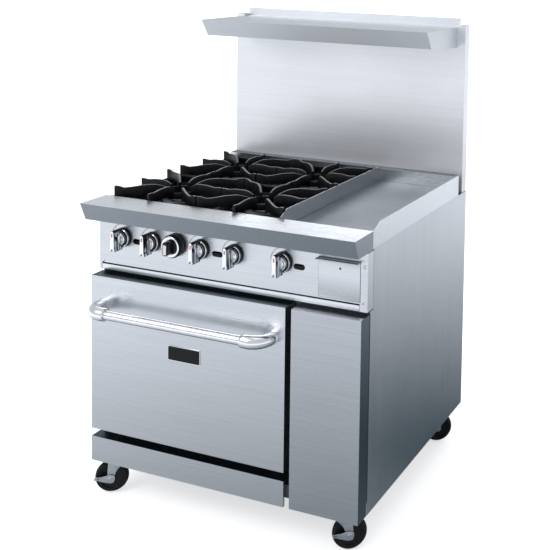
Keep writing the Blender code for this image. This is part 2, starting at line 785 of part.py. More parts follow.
def door_liner():
    """The inner skin of the door: a flat sheet pressed out into a plug that fills the oven mouth."""
    low = (DOOR_LEFT + 0.002, 0.0895, DOOR_BOTTOM + 0.002)
    sheet = box("liner_sheet", low, (DOOR_RIGHT - 0.002, 0.0915, DOOR_TOP - 0.002))
    join(sheet, box("plug", (-0.4100, 0.0900, 0.2530), (0.1730, 0.1125, 0.5945)))
    cut(sheet, box("plug_hollow", (-0.4085, 0.0800, 0.2545), (0.1715, 0.1110, 0.5930)))
    for x in HINGE_PLACES:
        cut(sheet, box("hinge_notch", (x - 0.016, 0.08, 0.19), (x + 0.016, 0.0925, 0.2520)))
    sheet = baked(sheet, "door_liner", "oven_enamel")
    return origin_to(sheet, (0, HINGE_DEPTH, HINGE_HEIGHT))


def hinge_bracket(name, x):
    """A fixed bracket with the pin that the door turns on."""
    arm = [
        (0.0965, 0.2000),
        (0.0965, 0.2400),
        (0.0720, 0.2285),
        (0.0535, 0.2240),
        (0.0535, 0.2105),
        (0.0720, 0.2085),
    ]
    bracket = slab(name + "_arm", arm, "X", x - 0.003, x + 0.003)
    join(
        bracket,
        box(name + "_foot", (x - 0.012, 0.0942, 0.1960), (x + 0.012, 0.0970, 0.2440)),
        cylinder(name + "_pin", (x, HINGE_DEPTH, HINGE_HEIGHT), 0.0040, 0.0280, "X", 20),
    )
    return baked(bracket, name, "zinc")


def door_handle():
    """A tube between two cast elbows that bend back to the door."""
    pivot = (0, HINGE_DEPTH, HINGE_HEIGHT)
    left, right = HANDLE_ENDS
    middle = ((left + right) / 2, HANDLE_DEPTH, HANDLE_HEIGHT)
    tube = cylinder("door_handle_tube", middle, TUBE_RADIUS, right - left, "X", 24, "chrome")
    origin_to(smooth(tube), pivot)
    for side, end, way in (("left", left, -1), ("right", right, 1)):
        start = end + way * 0.0004
        turn_x = start + way * 0.020
        line = [(start, HANDLE_DEPTH, HANDLE_HEIGHT)]
        for step in range(9):
            angle = math.pi / 2 * step / 8
            x = turn_x + way * ELBOW_BEND * math.sin(angle)
            line.append((x, HANDLE_DEPTH + ELBOW_BEND * (1 - math.cos(angle)), HANDLE_HEIGHT))
        line.append((line[-1][0], DOOR_FRONT - 0.0004, HANDLE_HEIGHT))
        elbow = pipe("door_handle_elbow_" + side, line, ELBOW_RADIUS, 4, "chrome")
        origin_to(smooth(elbow), pivot)


def badge_plate():
    """The blank name plate on the door."""
    centre = (DOOR_LEFT + DOOR_RIGHT) / 2
    low = (centre - 0.056, 0.0422, 0.468)
    plate = box("badge_plate", low, (centre + 0.056, 0.0446, 0.512), "black_plastic")
    return origin_to(plate, (0, HINGE_DEPTH, HINGE_HEIGHT))


# --- tray and drawer ------------------------------------------------------------------------------


def crumb_tray():
    """The full-width tray under the burners, behind its own narrow front strip."""
    tray = box("tray_pan", (-0.4440, 0.0810, 0.6945), (0.4290, 0.640, 0.7105))
    cut(tray, box("tray_inside", (-0.4425, 0.0830, 0.6960), (0.4275, 0.6385, 0.75)))
    join(tray, box("tray_front", (-0.4465, PANEL_FRONT, 0.6930), (0.4315, 0.0820, 0.7130)))
    tray = baked(tray, "crumb_tray", "brushed_steel")
    return origin_to(tray, (0, PANEL_FRONT, 0.703))


def grease_drawer():
    """The grease drawer: its front with a bent pull along the top, and the box behind."""
    drawer = box("drawer_box", (0.3065, 0.0800, 0.7220), (0.4305, 0.420, 0.7880))
    cut(drawer, box("drawer_inside", (0.3080, 0.0820, 0.7235), (0.4290, 0.4185, 0.82)))
    front_low = (DRAWER_LEFT, 0.0785, DRAWER_BOTTOM)
    pull_low = (DRAWER_LEFT, 0.0600, DRAWER_TOP - 0.0020)
    join(
        drawer,
        box("drawer_front", front_low, (DRAWER_RIGHT, 0.0805, DRAWER_TOP)),
        box("drawer_pull", pull_low, (DRAWER_RIGHT, 0.0795, DRAWER_TOP - 0.0004)),
    )
    drawer = baked(drawer, "grease_drawer", "brushed_steel")
    return origin_to(drawer, (0.3685, PANEL_FRONT, 0.775))


# --- knobs ----------------------------------------------------------------------------------------


def gas_knob(number, x):
    """A die-cast lever knob on its stem, with the bore that takes the stem."""
    z = KNOB_HEIGHT
    knob = cylinder("knob_skirt", (x, 0.0730, z), 0.0275, 0.0120, "Y", 32, end_radius=0.0300)
    join(
        knob,
        cylinder("knob_body", (x, 0.0555, z), 0.0235, 0.0270, "Y", 32, end_radius=0.0258),
        box("knob_lever", (x - 0.0070, 0.0310, z - 0.033), (x + 0.0070, 0.0620, z + 0.031)),
    )
    cut(knob, cylinder("knob_bore", (x, 0.0725, z), 0.0048, 0.0220, "Y", 12))
    knob = baked(knob, f"gas_knob_{number}", "chrome")
    return origin_to(smooth(knob), (x, PANEL_FRONT, KNOB_HEIGHT))


def thermostat_knob():
    """The oven thermostat's larger black dial with its grip bar."""
    x, z = THERMOSTAT_PLACE, KNOB_HEIGHT
    knob = cylinder("dial_body", (x, 0.0620, z), 0.0335, 0.0340, "Y", 36, end_radius=0.0345)
    join(knob, box("dial_grip", (x - 0.009, 0.0330, z - 0.026), (x + 0.009, 0.0500, z + 0.026)))
    cut(knob, cylinder("dial_bore", (x, 0.0725, z), 0.0048, 0.0240, "Y", 12))
    knob = baked(knob, "thermostat_knob", "black_plastic")
    return origin_to(smooth(knob), (x, PANEL_FRONT, KNOB_HEIGHT))


# --- casters --------------------------------------------------------------------------------------


def fork_mesh():
    """A swivel fork about its own swivel axis. The wheel trails towards -Y, and the axle lies along X."""
    at = -FRONT
    crown_low = (-LEG_OUTER + 0.0005, at - 0.024, 0.1045)
    fork = cylinder("raceway", (0, at, 0.1165), 0.0330, 0.0150, segments=28)
    leg = [
        (at + 0.026, 0.1120),
        (at - 0.026, 0.1120),
        (at - 0.031, 0.062),
        (at - 0.031, 0.042),
        (at - 0.026, 0.037),
        (at - 0.014, 0.037),
        (at - 0.009, 0.046),
        (at + 0.010, 0.098),
    ]
    for start, end in ((-LEG_OUTER, -LEG_INNER), (LEG_INNER, LEG_OUTER)):
        join(fork, slab("leg", leg, "X", start, end))
    join(
        fork,
        box("crown", crown_low, (LEG_OUTER - 0.0005, at + 0.020, 0.1100)),
        cylinder("axle", (0, at - CASTER_TRAIL, WHEEL_RADIUS), AXLE_RADIUS, 0.054, "X", 16),
    )
    return smooth(baked(fork, "caster_fork_front_left", "zinc"))


def wheel_mesh():
    """A caster wheel about its own centre, axle along X: a tread, recessed faces and a bore."""
    half = WHEEL_WIDTH / 2
    r = WHEEL_RADIUS
    one_side = [
        (0.0060, half),
        (0.0130, half),
        (0.0140, half - 0.004),
        (0.0340, half - 0.005),
        (0.0370, half - 0.001),
        (r - 0.004, half - 0.001),
        (r, half - 0.006),
    ]
    other_side = [(radius, -z) for radius, z in reversed(one_side)]
    profile = [*one_side, *other_side, one_side[0]]
    wheel = turned("wheel_turned", profile, 32)
    wheel = baked(wheel, "caster_wheel_front_left", "black_rubber")
    wheel.data.transform(turn_to("X"))
    return smooth(wheel)


def brake_mesh():
    """A brake lever about the wheel axle: one arm outside the fork, with a tab folded out at its tip."""
    at = -FRONT
    arm = [
        (at + 0.012, 0.009),
        (at + 0.009, -0.011),
        (at - 0.008, -0.012),
        (at - 0.030, -0.006),
        (at - 0.047, 0.003),
        (at - 0.047, 0.007),
        (at - 0.028, 0.008),
        (at - 0.010, 0.012),
    ]
    brake = slab("brake_arm", arm, "X", 0.0225, 0.0245)
    join(brake, box("brake_tab", (0.0235, at - 0.0465, 0.0032), (0.0340, at - 0.0330, 0.0060)))
    cut(brake, cylinder("brake_bore", (0.0235, at, 0), AXLE_RADIUS + 0.0009, 0.02, "X", 16))
    return baked(brake, "brake_pedal_left", "zinc")


def casters():
    """Four casters, each trailing outwards. A fork's origin is on its swivel axis, a wheel's on its
    axle. Both brake levers point left."""
    fork, wheel, brake = fork_mesh(), wheel_mesh(), brake_mesh()
    forks = {"front_left": fork}
    wheels = {"front_left": wheel}
    brakes = {"front_left": brake, "front_right": copy_of(brake, "brake_pedal_right")}
    for corner in ("front_right", "rear_left", "rear_right"):
        forks[corner] = copy_of(fork, "caster_fork_" + corner)
        wheels[corner] = copy_of(wheel, "caster_wheel_" + corner)
    leftwards = Matrix.Rotation(-CASTER_ANGLE, 4, "Z")
    rightwards = Matrix.Rotation(math.pi - CASTER_ANGLE, 4, "Z")
    for corner, caster_fork in forks.items():
        left = corner.endswith("left")
        x = -CASTER_ACROSS if left else CASTER_ACROSS
        depth = CASTER_DEEP[0] if corner.startswith("front") else CASTER_DEEP[1]
        swivel = Vector((x, y_of(depth), 0))
        turn = leftwards if left else rightwards
        axle = swivel + turn @ Vector((0, -CASTER_TRAIL, 0)) + Vector((0, 0, WHEEL_RADIUS))
        caster_fork.matrix_world = Matrix.Translation(swivel) @ turn
        wheels[corner].matrix_world = Matrix.Translation(axle) @ turn
        if corner in brakes:
            brakes[corner].matrix_world = Matrix.Translation(axle) @ leftwards


def build():
    base_frame()
    side_panels()
    back_panel()
    front_frame()
    right_cover()
    kick_plate()
    front_rail()
    control_panel()
    cooktop_frame()
    left_top_trim()
    rear_trim()
    splash_guard()
    griddle_plate()
    grease_trough()
    grates()
    burners()
    griddle_burner()
    pilot_tube()
    gas_train()
    riser()
    high_shelf()
    oven_liner()
    oven_deck()
    oven_racks()
    oven_burner()
    door_shell()
    door_liner()
    for name, x in zip(("door_hinge_left", "door_hinge_right"), HINGE_PLACES):
        hinge_bracket(name, x)
    door_handle()
    badge_plate()
    crumb_tray()
    grease_drawer()
    for number, x in enumerate(KNOB_PLACES, 1):
        gas_knob(number, x)
    thermostat_knob()
    casters()


build()
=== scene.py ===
"""Looks for the commercial gas range: finer shapes where the CAD is plain, materials, lights and camera."""

import json
import math

import bmesh
import bpy
from mathutils import Matrix, Vector

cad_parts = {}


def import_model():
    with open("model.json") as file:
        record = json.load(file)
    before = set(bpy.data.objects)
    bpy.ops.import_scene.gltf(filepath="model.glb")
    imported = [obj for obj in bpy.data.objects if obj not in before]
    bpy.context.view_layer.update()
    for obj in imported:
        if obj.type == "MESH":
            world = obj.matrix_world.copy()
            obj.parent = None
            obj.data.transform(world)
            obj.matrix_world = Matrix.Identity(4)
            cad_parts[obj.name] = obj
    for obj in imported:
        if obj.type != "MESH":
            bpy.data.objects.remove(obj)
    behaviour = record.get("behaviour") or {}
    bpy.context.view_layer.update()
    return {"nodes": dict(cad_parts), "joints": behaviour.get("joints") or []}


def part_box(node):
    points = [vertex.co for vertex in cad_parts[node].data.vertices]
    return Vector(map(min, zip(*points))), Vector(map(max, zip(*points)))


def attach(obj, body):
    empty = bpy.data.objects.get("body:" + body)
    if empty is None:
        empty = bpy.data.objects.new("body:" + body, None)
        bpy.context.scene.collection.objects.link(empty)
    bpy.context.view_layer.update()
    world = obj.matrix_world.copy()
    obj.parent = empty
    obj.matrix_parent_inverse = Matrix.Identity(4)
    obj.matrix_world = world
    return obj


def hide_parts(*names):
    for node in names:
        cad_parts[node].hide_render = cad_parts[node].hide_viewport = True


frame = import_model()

NODES = frame["nodes"]
JOINTS = {joint["name"]: joint for joint in frame["joints"]}
CORNERS = ("front_left", "front_right", "rear_left", "rear_right")
KNOBS = tuple(f"gas_knob_{number}" for number in range(1, 6))


def corners(node):
    low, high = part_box(node)
    return Vector(low), Vector(high)


def middle(node):
    low, high = corners(node)
    return (low + high) / 2


def pivot(joint):
    return Vector(JOINTS[joint]["pos_m"])


# --- materials ------------------------------------------------------------------------------------


class Paint:
    """A material on one Principled shader, with short calls for the nodes that drive it."""

    def __init__(self, name, colour, metallic, roughness):
        self.material = bpy.data.materials.new(name)
        self.material.use_nodes = True
        self.tree = self.material.node_tree
        self.shader = self.tree.nodes["Principled BSDF"]
        self.shader.inputs["Base Color"].default_value = (*colour, 1.0)
        self.shader.inputs["Metallic"].default_value = metallic
        self.shader.inputs["Roughness"].default_value = roughness
        self.place = self.node("ShaderNodeTexCoord").outputs["Object"]

    def node(self, kind, **values):
        made = self.tree.nodes.new(kind)
        for key, value in values.items():
            setattr(made, key, value)
        return made

    def link(self, source, target):
        self.tree.links.new(source, target)

    def stretched(self, scale):
        """The object's own coordinates, scaled by axis."""
        mapping = self.node("ShaderNodeMapping")
        mapping.inputs["Scale"].default_value = scale
        self.link(self.place, mapping.inputs["Vector"])
        return mapping.outputs["Vector"]

    def noise(self, scale, detail=3.0, stretch=(1, 1, 1), roughness=0.55):
        made = self.node("ShaderNodeTexNoise")
        made.inputs["Scale"].default_value = scale
        made.inputs["Detail"].default_value = detail
        made.inputs["Roughness"].default_value = roughness
        self.link(self.stretched(stretch), made.inputs["Vector"])
        return made.outputs["Fac"]

    def spread(self, source, low, high, start=0.3, end=0.7):
        """Maps a value from start..end to low..high."""
        made = self.node("ShaderNodeMapRange")
        for key, value in zip(("From Min", "From Max", "To Min", "To Max"), (start, end, low, high)):
            made.inputs[key].default_value = value
        self.link(source, made.inputs["Value"])
        return made.outputs["Result"]

    def maths(self, operation, a, b):
        made = self.node("ShaderNodeMath", operation=operation)
        for socket, value in zip(made.inputs, (a, b)):
            if isinstance(value, (int, float)):
                socket.default_value = value
            else:
                self.link(value, socket)
        return made.outputs["Value"]

    def blend(self, first, part, second, rest):
        """Two values added in the given parts."""
        return self.maths("ADD", self.maths("MULTIPLY", first, part), self.maths("MULTIPLY", second, rest))

    def mix(self, factor, first, second):
        """One colour to another by the factor."""
        made = self.node("ShaderNodeMix", data_type="RGBA")
        self.link(factor, made.inputs["Factor"])
        colours = [socket for socket in made.inputs if socket.type == "RGBA"]
        for socket, colour in zip(colours, (first, second)):
            if isinstance(colour, tuple):
                socket.default_value = (*colour, 1.0)
            else:
                self.link(colour, socket)
        return [socket for socket in made.outputs if socket.type == "RGBA"][0]

    def bump(self, source, strength, distance=0.001):
        made = self.node("ShaderNodeBump")
        made.inputs["Strength"].default_value = strength
        made.inputs["Distance"].default_value = distance
        self.link(source, made.inputs["Height"])
        self.link(made.outputs["Normal"], self.shader.inputs["Normal"])

    def drive(self, name, source):
        self.link(source, self.shader.inputs[name])

    def away(self, centre, low, high, start, end):
        """Maps the distance from a point, start..end, to low..high."""
        distance = self.node("ShaderNodeVectorMath", operation="DISTANCE")
        self.link(self.place, distance.inputs[0])
        distance.inputs[1].default_value = centre
        return self.spread(distance.outputs["Value"], low, high, start, end)

    def turned_to(self, axis, start, end):
        """0 to 1 as the surface turns towards an axis: its normal's part along it goes start to end."""
        split = self.node("ShaderNodeSeparateXYZ")
        self.link(self.node("ShaderNodeNewGeometry").outputs["Normal"], split.inputs["Vector"])
        return self.spread(split.outputs[axis], 0.0, 1.0, start, end)

    def height(self, start, end):
        """0 to 1 as Z goes from start to end."""
        split = self.node("ShaderNodeSeparateXYZ")
        self.link(self.place, split.inputs["Vector"])
        return self.spread(split.outputs["Z"], 0.0, 1.0, start, end)


def brushed_steel(
    name, along, light, dark, roughness=0.30, top=None, under=None, end=None, sheen=1.0, spill=None
):
    """Satin stainless: fine streaks along the grain, with slow clouds of polish over them. Faces that
    look up, that lean over or that end the part on the right can take a colour of painted light or
    shade. Sheen is how metallic the leaning faces stay, and spill the heights between which painted
    light from below fades out, as the metallic rises."""
    paint = Paint(name, light, 1.0, roughness)
    fine = tuple(9.0 if axis == along else 900.0 for axis in "XYZ")
    coarse = tuple(1.6 if axis == along else 150.0 for axis in "XYZ")
    streaks = paint.noise(1.0, 2.0, fine)
    bands = paint.noise(1.0, 3.0, coarse)
    clouds = paint.noise(3.2, 2.0)
    grain = paint.blend(streaks, 0.5, bands, 0.5)
    colour = paint.mix(paint.spread(grain, 0.0, 1.0, 0.36, 0.64), dark, light)
    # Painted light and shade: faces that look up, lean over or end the part on the right take their own
    # colour for the light on them.
    if top:
        colour = paint.mix(paint.turned_to("Z", 0.75, 0.95), colour, top)
    if under:
        leaning = paint.turned_to("Z", -0.15, -0.35)
        colour = paint.mix(leaning, colour, under)
        paint.drive("Metallic", paint.spread(leaning, 1.0, sheen, 0.0, 1.0))
    if end:
        colour = paint.mix(paint.turned_to("X", 0.80, 0.95), colour, end)
    # Painted light: the metallic drops low down, so the steel there reads lighter.
    if spill:
        paint.drive("Metallic", paint.spread(paint.height(*spill), 0.45, 1.0, 0.0, 1.0))
    paint.drive("Base Color", colour)
    spread = paint.maths("ADD", paint.spread(streaks, -0.05, 0.06), paint.spread(clouds, -0.03, 0.04))
    paint.drive("Roughness", paint.maths("ADD", spread, roughness))
    paint.bump(streaks, 0.06, 0.0003)
    return paint.material


def cast_iron():
    """Black seasoned iron: sandy skin, with a painted highlight along the upward-facing tops of the
    fingers.
    """
    highlight_from, highlight_to = 0.9200, 0.9240
    paint = Paint("cast_iron_grate", (0.02, 0.02, 0.022), 0.0, 0.5)
    grit = paint.noise(520.0, 4.0)
    patches = paint.noise(38.0, 3.0)
    skin = paint.mix(paint.spread(patches, 0.0, 1.0), (0.0015, 0.0018, 0.0024), (0.005, 0.0056, 0.0066))
    # Painted highlight: where the fingers face up near their top height the colour is lighter, broken up in
    # patches.
    crest = paint.maths("MULTIPLY", paint.height(highlight_from, highlight_to), paint.turned_to("Z", 0.80, 0.97))
    crest_highlight = paint.maths("MULTIPLY", crest, paint.spread(patches, 0.55, 1.0))
    paint.drive("Base Color", paint.mix(crest_highlight, skin, (0.34, 0.35, 0.37)))
    paint.drive("Roughness", paint.spread(patches, 0.36, 0.55))
    paint.shader.inputs["Specular IOR Level"].default_value = 0.22
    paint.bump(grit, 0.30, 0.0006)
    return paint.material


def bare_casting():
    """Dull grey iron with heat stains, for the burners."""
    paint = Paint("burner_casting", (0.11, 0.115, 0.12), 0.5, 0.55)
    grit = paint.noise(420.0, 4.0)
    stains = paint.noise(24.0, 3.0)
    colour = paint.mix(paint.spread(stains, 0.0, 1.0), (0.075, 0.080, 0.086), (0.19, 0.20, 0.21))
    paint.drive("Base Color", colour)
    paint.drive("Roughness", paint.spread(stains, 0.42, 0.66))
    paint.bump(grit, 0.25, 0.0005)
    return paint.material


def griddle_steel():
    """Ground plate: cross-hatched grinding marks and faint heat stains."""
    paint = Paint("griddle_plate_ground", (0.52, 0.53, 0.55), 1.0, 0.4)
    one_way = paint.noise(1.0, 2.0, (700, 12, 700))
    other_way = paint.noise(1.0, 2.0, (12, 700, 12))
    marks = paint.blend(one_way, 0.6, other_way, 0.4)
    stains = paint.noise(5.0, 3.0)
    colour = paint.mix(paint.spread(stains, 0.0, 1.0), (0.28, 0.30, 0.32), (0.37, 0.39, 0.42))
    paint.drive("Base Color", colour)
    paint.drive("Roughness", paint.spread(marks, 0.34, 0.50))
    paint.bump(marks, 0.08, 0.0003)
    return paint.material


def chrome(name, roughness, axis="Z", bright_to=(-0.25, -0.60), banding=(90, 90, 420), pale=0.36):
    """Polished plate. A painted reflection of the dark room darkens its colour, in bands, where it turns to
    one side.
    """
    paint = Paint(name, (0.86, 0.87, 0.89), 1.0, roughness)
    smears = paint.noise(45.0, 3.0)
    bands = paint.noise(1.0, 2.0, banding)
    paint.drive("Roughness", paint.spread(smears, roughness * 0.7, roughness * 1.7))
    lit = paint.mix(paint.spread(smears, 0.0, 1.0), (0.80, 0.81, 0.84), (0.92, 0.92, 0.94))
    # Painted reflection: dark bands where the normal turns to the axis.
    pale_band = (pale, pale * 1.04, pale * 1.08)
    dim = paint.mix(paint.spread(bands, 0.0, 1.0, 0.42, 0.60), (0.035, 0.045, 0.055), pale_band)
    paint.drive("Base Color", paint.mix(paint.turned_to(axis, *bright_to), lit, dim))
    return paint.material


def plain(name, colours, metallic, roughness, scale, bump, specular=0.5):
    """A moulded, painted or plated surface: two close colours in patches over a fine grain."""
    paint = Paint(name, colours[0], metallic, roughness)
    paint.shader.inputs["Specular IOR Level"].default_value = specular
    patches = paint.noise(scale, 3.0)
    grain = paint.noise(scale * 12, 3.0)
    paint.drive("Base Color", paint.mix(paint.spread(patches, 0.0, 1.0), *colours))
    paint.drive("Roughness", paint.spread(patches, roughness * 0.85, roughness * 1.2))
    paint.bump(grain, bump, 0.0004)
    return paint.material


# Painted light: one satin stainless, its colour set lighter or darker on each part for the light and shade
# that fall there.
FRONT_STEEL_PAINTED_LIGHT = (0.66, 0.68, 0.71), (0.60, 0.62, 0.65)
SIDE_STEEL_PAINTED_LIGHT = (0.58, 0.60, 0.63), (0.52, 0.54, 0.57)
RISER_STEEL_PAINTED_LIGHT = (0.80, 0.81, 0.83), (0.74, 0.75, 0.78)
COVER_STEEL_PAINTED_LIGHT = (0.55, 0.57, 0.60), (0.49, 0.51, 0.54)
SHELF_STEEL_PAINTED_LIGHT = (0.72, 0.74, 0.77), (0.66, 0.68, 0.71)
RAIL_STEEL_PAINTED_LIGHT = (0.74, 0.76, 0.79), (0.68, 0.70, 0.73)
TOP_STEEL_PAINTED_LIGHT = (0.66, 0.68, 0.71), (0.58, 0.60, 0.63)
TRAY_STEEL_PAINTED_LIGHT = (0.84, 0.86, 0.89), (0.78, 0.80, 0.83)
# Painted shade: the up-facing faces of the front sheets are dark slate.
FRONT_TOP_PAINTED_SHADE = (0.075, 0.10, 0.115)
# Painted shade: the cover's right-facing end faces are darker.
COVER_END_PAINTED_SHADE = (0.15, 0.18, 0.21)
# Painted light: the shelf's leaning lip is paler and less metallic, so it reads lit.
SHELF_UNDER_PAINTED_LIGHT = (0.72, 0.75, 0.79)
# Painted highlight on the rail's top; painted shade on its underside and right end.
RAIL_TOP_PAINTED_HIGHLIGHT, RAIL_UNDER_PAINTED_SHADE, RAIL_END_PAINTED_SHADE = (0.93, 0.95, 0.97), (0.30, 0.33, 0.36), (0.26, 0.28, 0.31)
RISER_SPILL = (0.93, 1.12)
BURNT_AND_SHADED_GREYS = (0.075, 0.083, 0.095), (0.12, 0.13, 0.145)
ENAMEL_BLUES = (0.030, 0.036, 0.048), (0.045, 0.052, 0.066)
ZINC_GREYS = (0.50, 0.52, 0.55), (0.66, 0.68, 0.70)
# Dulled brass, darkened further as painted shade, so the slots in front of the gas manifold read black.
BRASS_BROWNS = (0.10, 0.07, 0.035), (0.16, 0.115, 0.055)
PHENOLIC_BLACKS = (0.006, 0.007, 0.009), (0.011, 0.012, 0.015)
RUBBER_BLACKS = (0.006, 0.006, 0.008), (0.013, 0.013, 0.015)
PRINT_GREYS = (0.10, 0.11, 0.12), (0.14, 0.15, 0.16)
POINTER_REDS = (0.55, 0.02, 0.015), (0.66, 0.03, 0.02)
POINTER_WHITES = (0.80, 0.80, 0.78), (0.88, 0.88, 0.86)
GLOSS_BLACKS = (0.004, 0.005, 0.006), (0.007, 0.008, 0.009)
LOOKS = {
    "front": brushed_steel("steel_front_brushed", "X", *FRONT_STEEL_PAINTED_LIGHT, top=FRONT_TOP_PAINTED_SHADE),
    "side": brushed_steel("steel_side_brushed", "Z", *SIDE_STEEL_PAINTED_LIGHT, 0.34),
    "riser": brushed_steel("steel_riser_brushed", "X", *RISER_STEEL_PAINTED_LIGHT, 0.36, spill=RISER_SPILL),
    "cover": brushed_steel("steel_cover_brushed", "X", *COVER_STEEL_PAINTED_LIGHT, end=COVER_END_PAINTED_SHADE),
    "shelf": brushed_steel("steel_shelf_brushed", "X", *SHELF_STEEL_PAINTED_LIGHT, 0.42, under=SHELF_UNDER_PAINTED_LIGHT, sheen=0.25),
    "rail": brushed_steel("steel_rail_brushed", "X", *RAIL_STEEL_PAINTED_LIGHT, 0.28, RAIL_TOP_PAINTED_HIGHLIGHT, RAIL_UNDER_PAINTED_SHADE, RAIL_END_PAINTED_SHADE),
    "top": brushed_steel("steel_top_brushed", "X", *TOP_STEEL_PAINTED_LIGHT, 0.28),
    "iron": cast_iron(),
    "burner": bare_casting(),
    "tray": brushed_steel("steel_tray_brushed", "X", *TRAY_STEEL_PAINTED_LIGHT, 0.36),
    "griddle": griddle_steel(),
    "chrome": chrome("chrome_polished", 0.09),
    "knob": chrome("knob_chrome", 0.12, "X", (0.30, 0.75), (4, 260, 12), 0.62),
    "handle": chrome("handle_polished", 0.16, "Z", (-0.35, -0.70)),
    # Heat-darkened on the burners; the frames take it too, and inside the crumb tray's pan it is painted
    # shade.
    "dark_steel": plain("steel_heat_darkened_and_shaded", BURNT_AND_SHADED_GREYS, 0.9, 0.42, 20, 0.05),
    "enamel": plain("oven_enamel", ENAMEL_BLUES, 0.0, 0.28, 30, 0.08),
    "zinc": plain("zinc_plate", ZINC_GREYS, 1.0, 0.36, 110, 0.08),
    "brass": plain("brass_dulled_and_shaded", BRASS_BROWNS, 0.9, 0.45, 60, 0.05),
    "black": plain("black_phenolic", PHENOLIC_BLACKS, 0.0, 0.30, 60, 0.06, 0.30),
    "rubber": plain("tread_rubber", RUBBER_BLACKS, 0.0, 0.62, 70, 0.2, 0.25),
    "print": plain("silkscreen_print", PRINT_GREYS, 0.0, 0.5, 90, 0.02),
    "red": plain("red_pointer", POINTER_REDS, 0.0, 0.35, 80, 0.03),
    "white": plain("white_pointer", POINTER_WHITES, 0.0, 0.4, 80, 0.03),
    "badge": plain("badge_black_gloss", GLOSS_BLACKS, 0.0, 0.30, 40, 0.01, 0.2),
}


# --- mesh helpers ---------------------------------------------------------------------------------


def link_object(name, data):
    """An object with this data in the scene."""
    made = bpy.data.objects.new(name, data)
    bpy.context.scene.collection.objects.link(made)
    return made


def piece(name, shape, looks, body, slot, *nodes, smooth=40.0):
    """Makes a mesh object of the bmesh, rides it on the body and lets it stand for the CAD nodes."""
    mesh = bpy.data.meshes.new(name)
    bmesh.ops.recalc_face_normals(shape, faces=shape.faces)
    shape.to_mesh(mesh)
    shape.free()
    for look in (looks,) if isinstance(looks, str) else looks:
        mesh.materials.append(LOOKS[look])
    mesh.shade_smooth()
    mesh.set_sharp_from_angle(angle=math.radians(smooth))
    made = link_object(name, mesh)
    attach(made, body)
    if nodes:
        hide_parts(*nodes)
    return made


def rounded(made, width, segments):
    """A Bevel modifier on a CAD node, on the edges where its faces turn by more than 35 degrees."""
    change = made.modifiers.new("rounded", "BEVEL")
    change.width = width
    change.segments = segments
    change.limit_method = "ANGLE"
    change.angle_limit = math.radians(35)
    change.harden_normals = False


def circle(count):
    """Equal angles once round."""
    return [2 * math.pi * step / count for step in range(count)]


def on_circle(angle, radius, height):
    return Vector((radius * math.cos(angle), radius * math.sin(angle), height))


def finish_solid(shape, verts, look, bevel, segments):
    """Gives the faces on these vertices their look and rounds the edges by bevel."""
    for face in {face for vert in verts for face in vert.link_faces}:
        face.material_index = look
    if bevel:
        edges = list({edge for vert in verts for edge in vert.link_edges})
        arc = {"offset": bevel, "segments": segments, "profile": 0.5, "affect": "EDGES"}
        bmesh.ops.bevel(shape, geom=edges, material=look, **arc)


def add_box(shape, low, high, look=0, bevel=0.0):
    """A box into the bmesh, its edges rounded by bevel."""
    low, high = Vector(low), Vector(high)
    made = bmesh.ops.create_cube(shape, size=1.0)["verts"]
    bmesh.ops.scale(shape, vec=high - low, verts=made)
    bmesh.ops.translate(shape, vec=(low + high) / 2, verts=made)
    finish_solid(shape, made, look, bevel, 2)


def add_turned(shape, profile, where, steps, look=0):
    """A solid of revolution into the bmesh: (radius, height) points turned about the matrix's Z."""
    rings = []
    for radius, height in profile:
        if radius < 1e-6:
            rings.append([shape.verts.new(where @ Vector((0, 0, height)))])
            continue
        spots = [on_circle(angle, radius, height) for angle in circle(steps)]
        rings.append([shape.verts.new(where @ spot) for spot in spots])
    for below, above in zip(rings, rings[1:]):
        for step in range(steps):
            after = (step + 1) % steps
            loop = [below[step % len(below)], below[after % len(below)], above[after % len(above)]]
            loop.append(above[step % len(above)])
            loop = list(dict.fromkeys(loop))
            if len(loop) > 2:
                shape.faces.new(loop).material_index = look


def join_rings(shape, near, far, look=0):
    """Quads between two closed rings with the same number of vertices."""
    for k in range(len(near)):
        after = (k + 1) % len(near)
        shape.faces.new((near[k], near[after], far[after], far[k])).material_index = look


def direction(path, i):
    """The way a path runs at its point i."""
    return (path[min(i + 1, len(path) - 1)] - path[max(i - 1, 0)]).normalized()


def add_sweep(shape, path, section):
    """Sections swept along a path. section(i) gives (sideways, upwards) points for path point i."""
    rings = []
    for i, spot in enumerate(path):
        along = direction(path, i)
        side = Vector((0, 0, 1)).cross(along).normalized()
        rise = along.cross(side).normalized()
        rings.append([shape.verts.new(spot + side * a + rise * b) for a, b in section(i)])
    for near, far in zip(rings, rings[1:]):
        join_rings(shape, near, far)
    for ring in (rings[0], rings[-1]):
        shape.faces.new(ring)


def ellipse(width, height, count, power):
    """A closed section: an ellipse, or a squarer one when the power is under 1."""
    points = []
    for angle in circle(count):
        a, b = (math.copysign(abs(part) ** power, part) for part in (math.cos(angle), math.sin(angle)))
        points.append((width * a, height * b))
    return points


def add_prism(shape, outline, thickness, where, look=0, bevel=0.0, segments=2):
    """A flat outline in the matrix's XY plane, pushed up its Z."""
    base = [shape.verts.new(where @ Vector((a, b, 0))) for a, b in outline]
    face = shape.faces.new(base)
    pushed = bmesh.ops.extrude_face_region(shape, geom=[face])["geom"]
    top = [item for item in pushed if isinstance(item, bmesh.types.BMVert)]
    travel = where.to_3x3() @ Vector((0, 0, thickness))
    bmesh.ops.translate(shape, vec=travel, verts=top)
    finish_solid(shape, base + top, look, bevel, segments)


def facing(point, toward):
    """A matrix at the point whose Z looks along a direction."""
    return Matrix.Translation(point) @ Vector(toward).to_track_quat("Z", "Y").to_matrix().to_4x4()


def lifted(where, height):
    """The matrix moved up its own Z."""
    return where @ Matrix.Translation((0, 0, height))


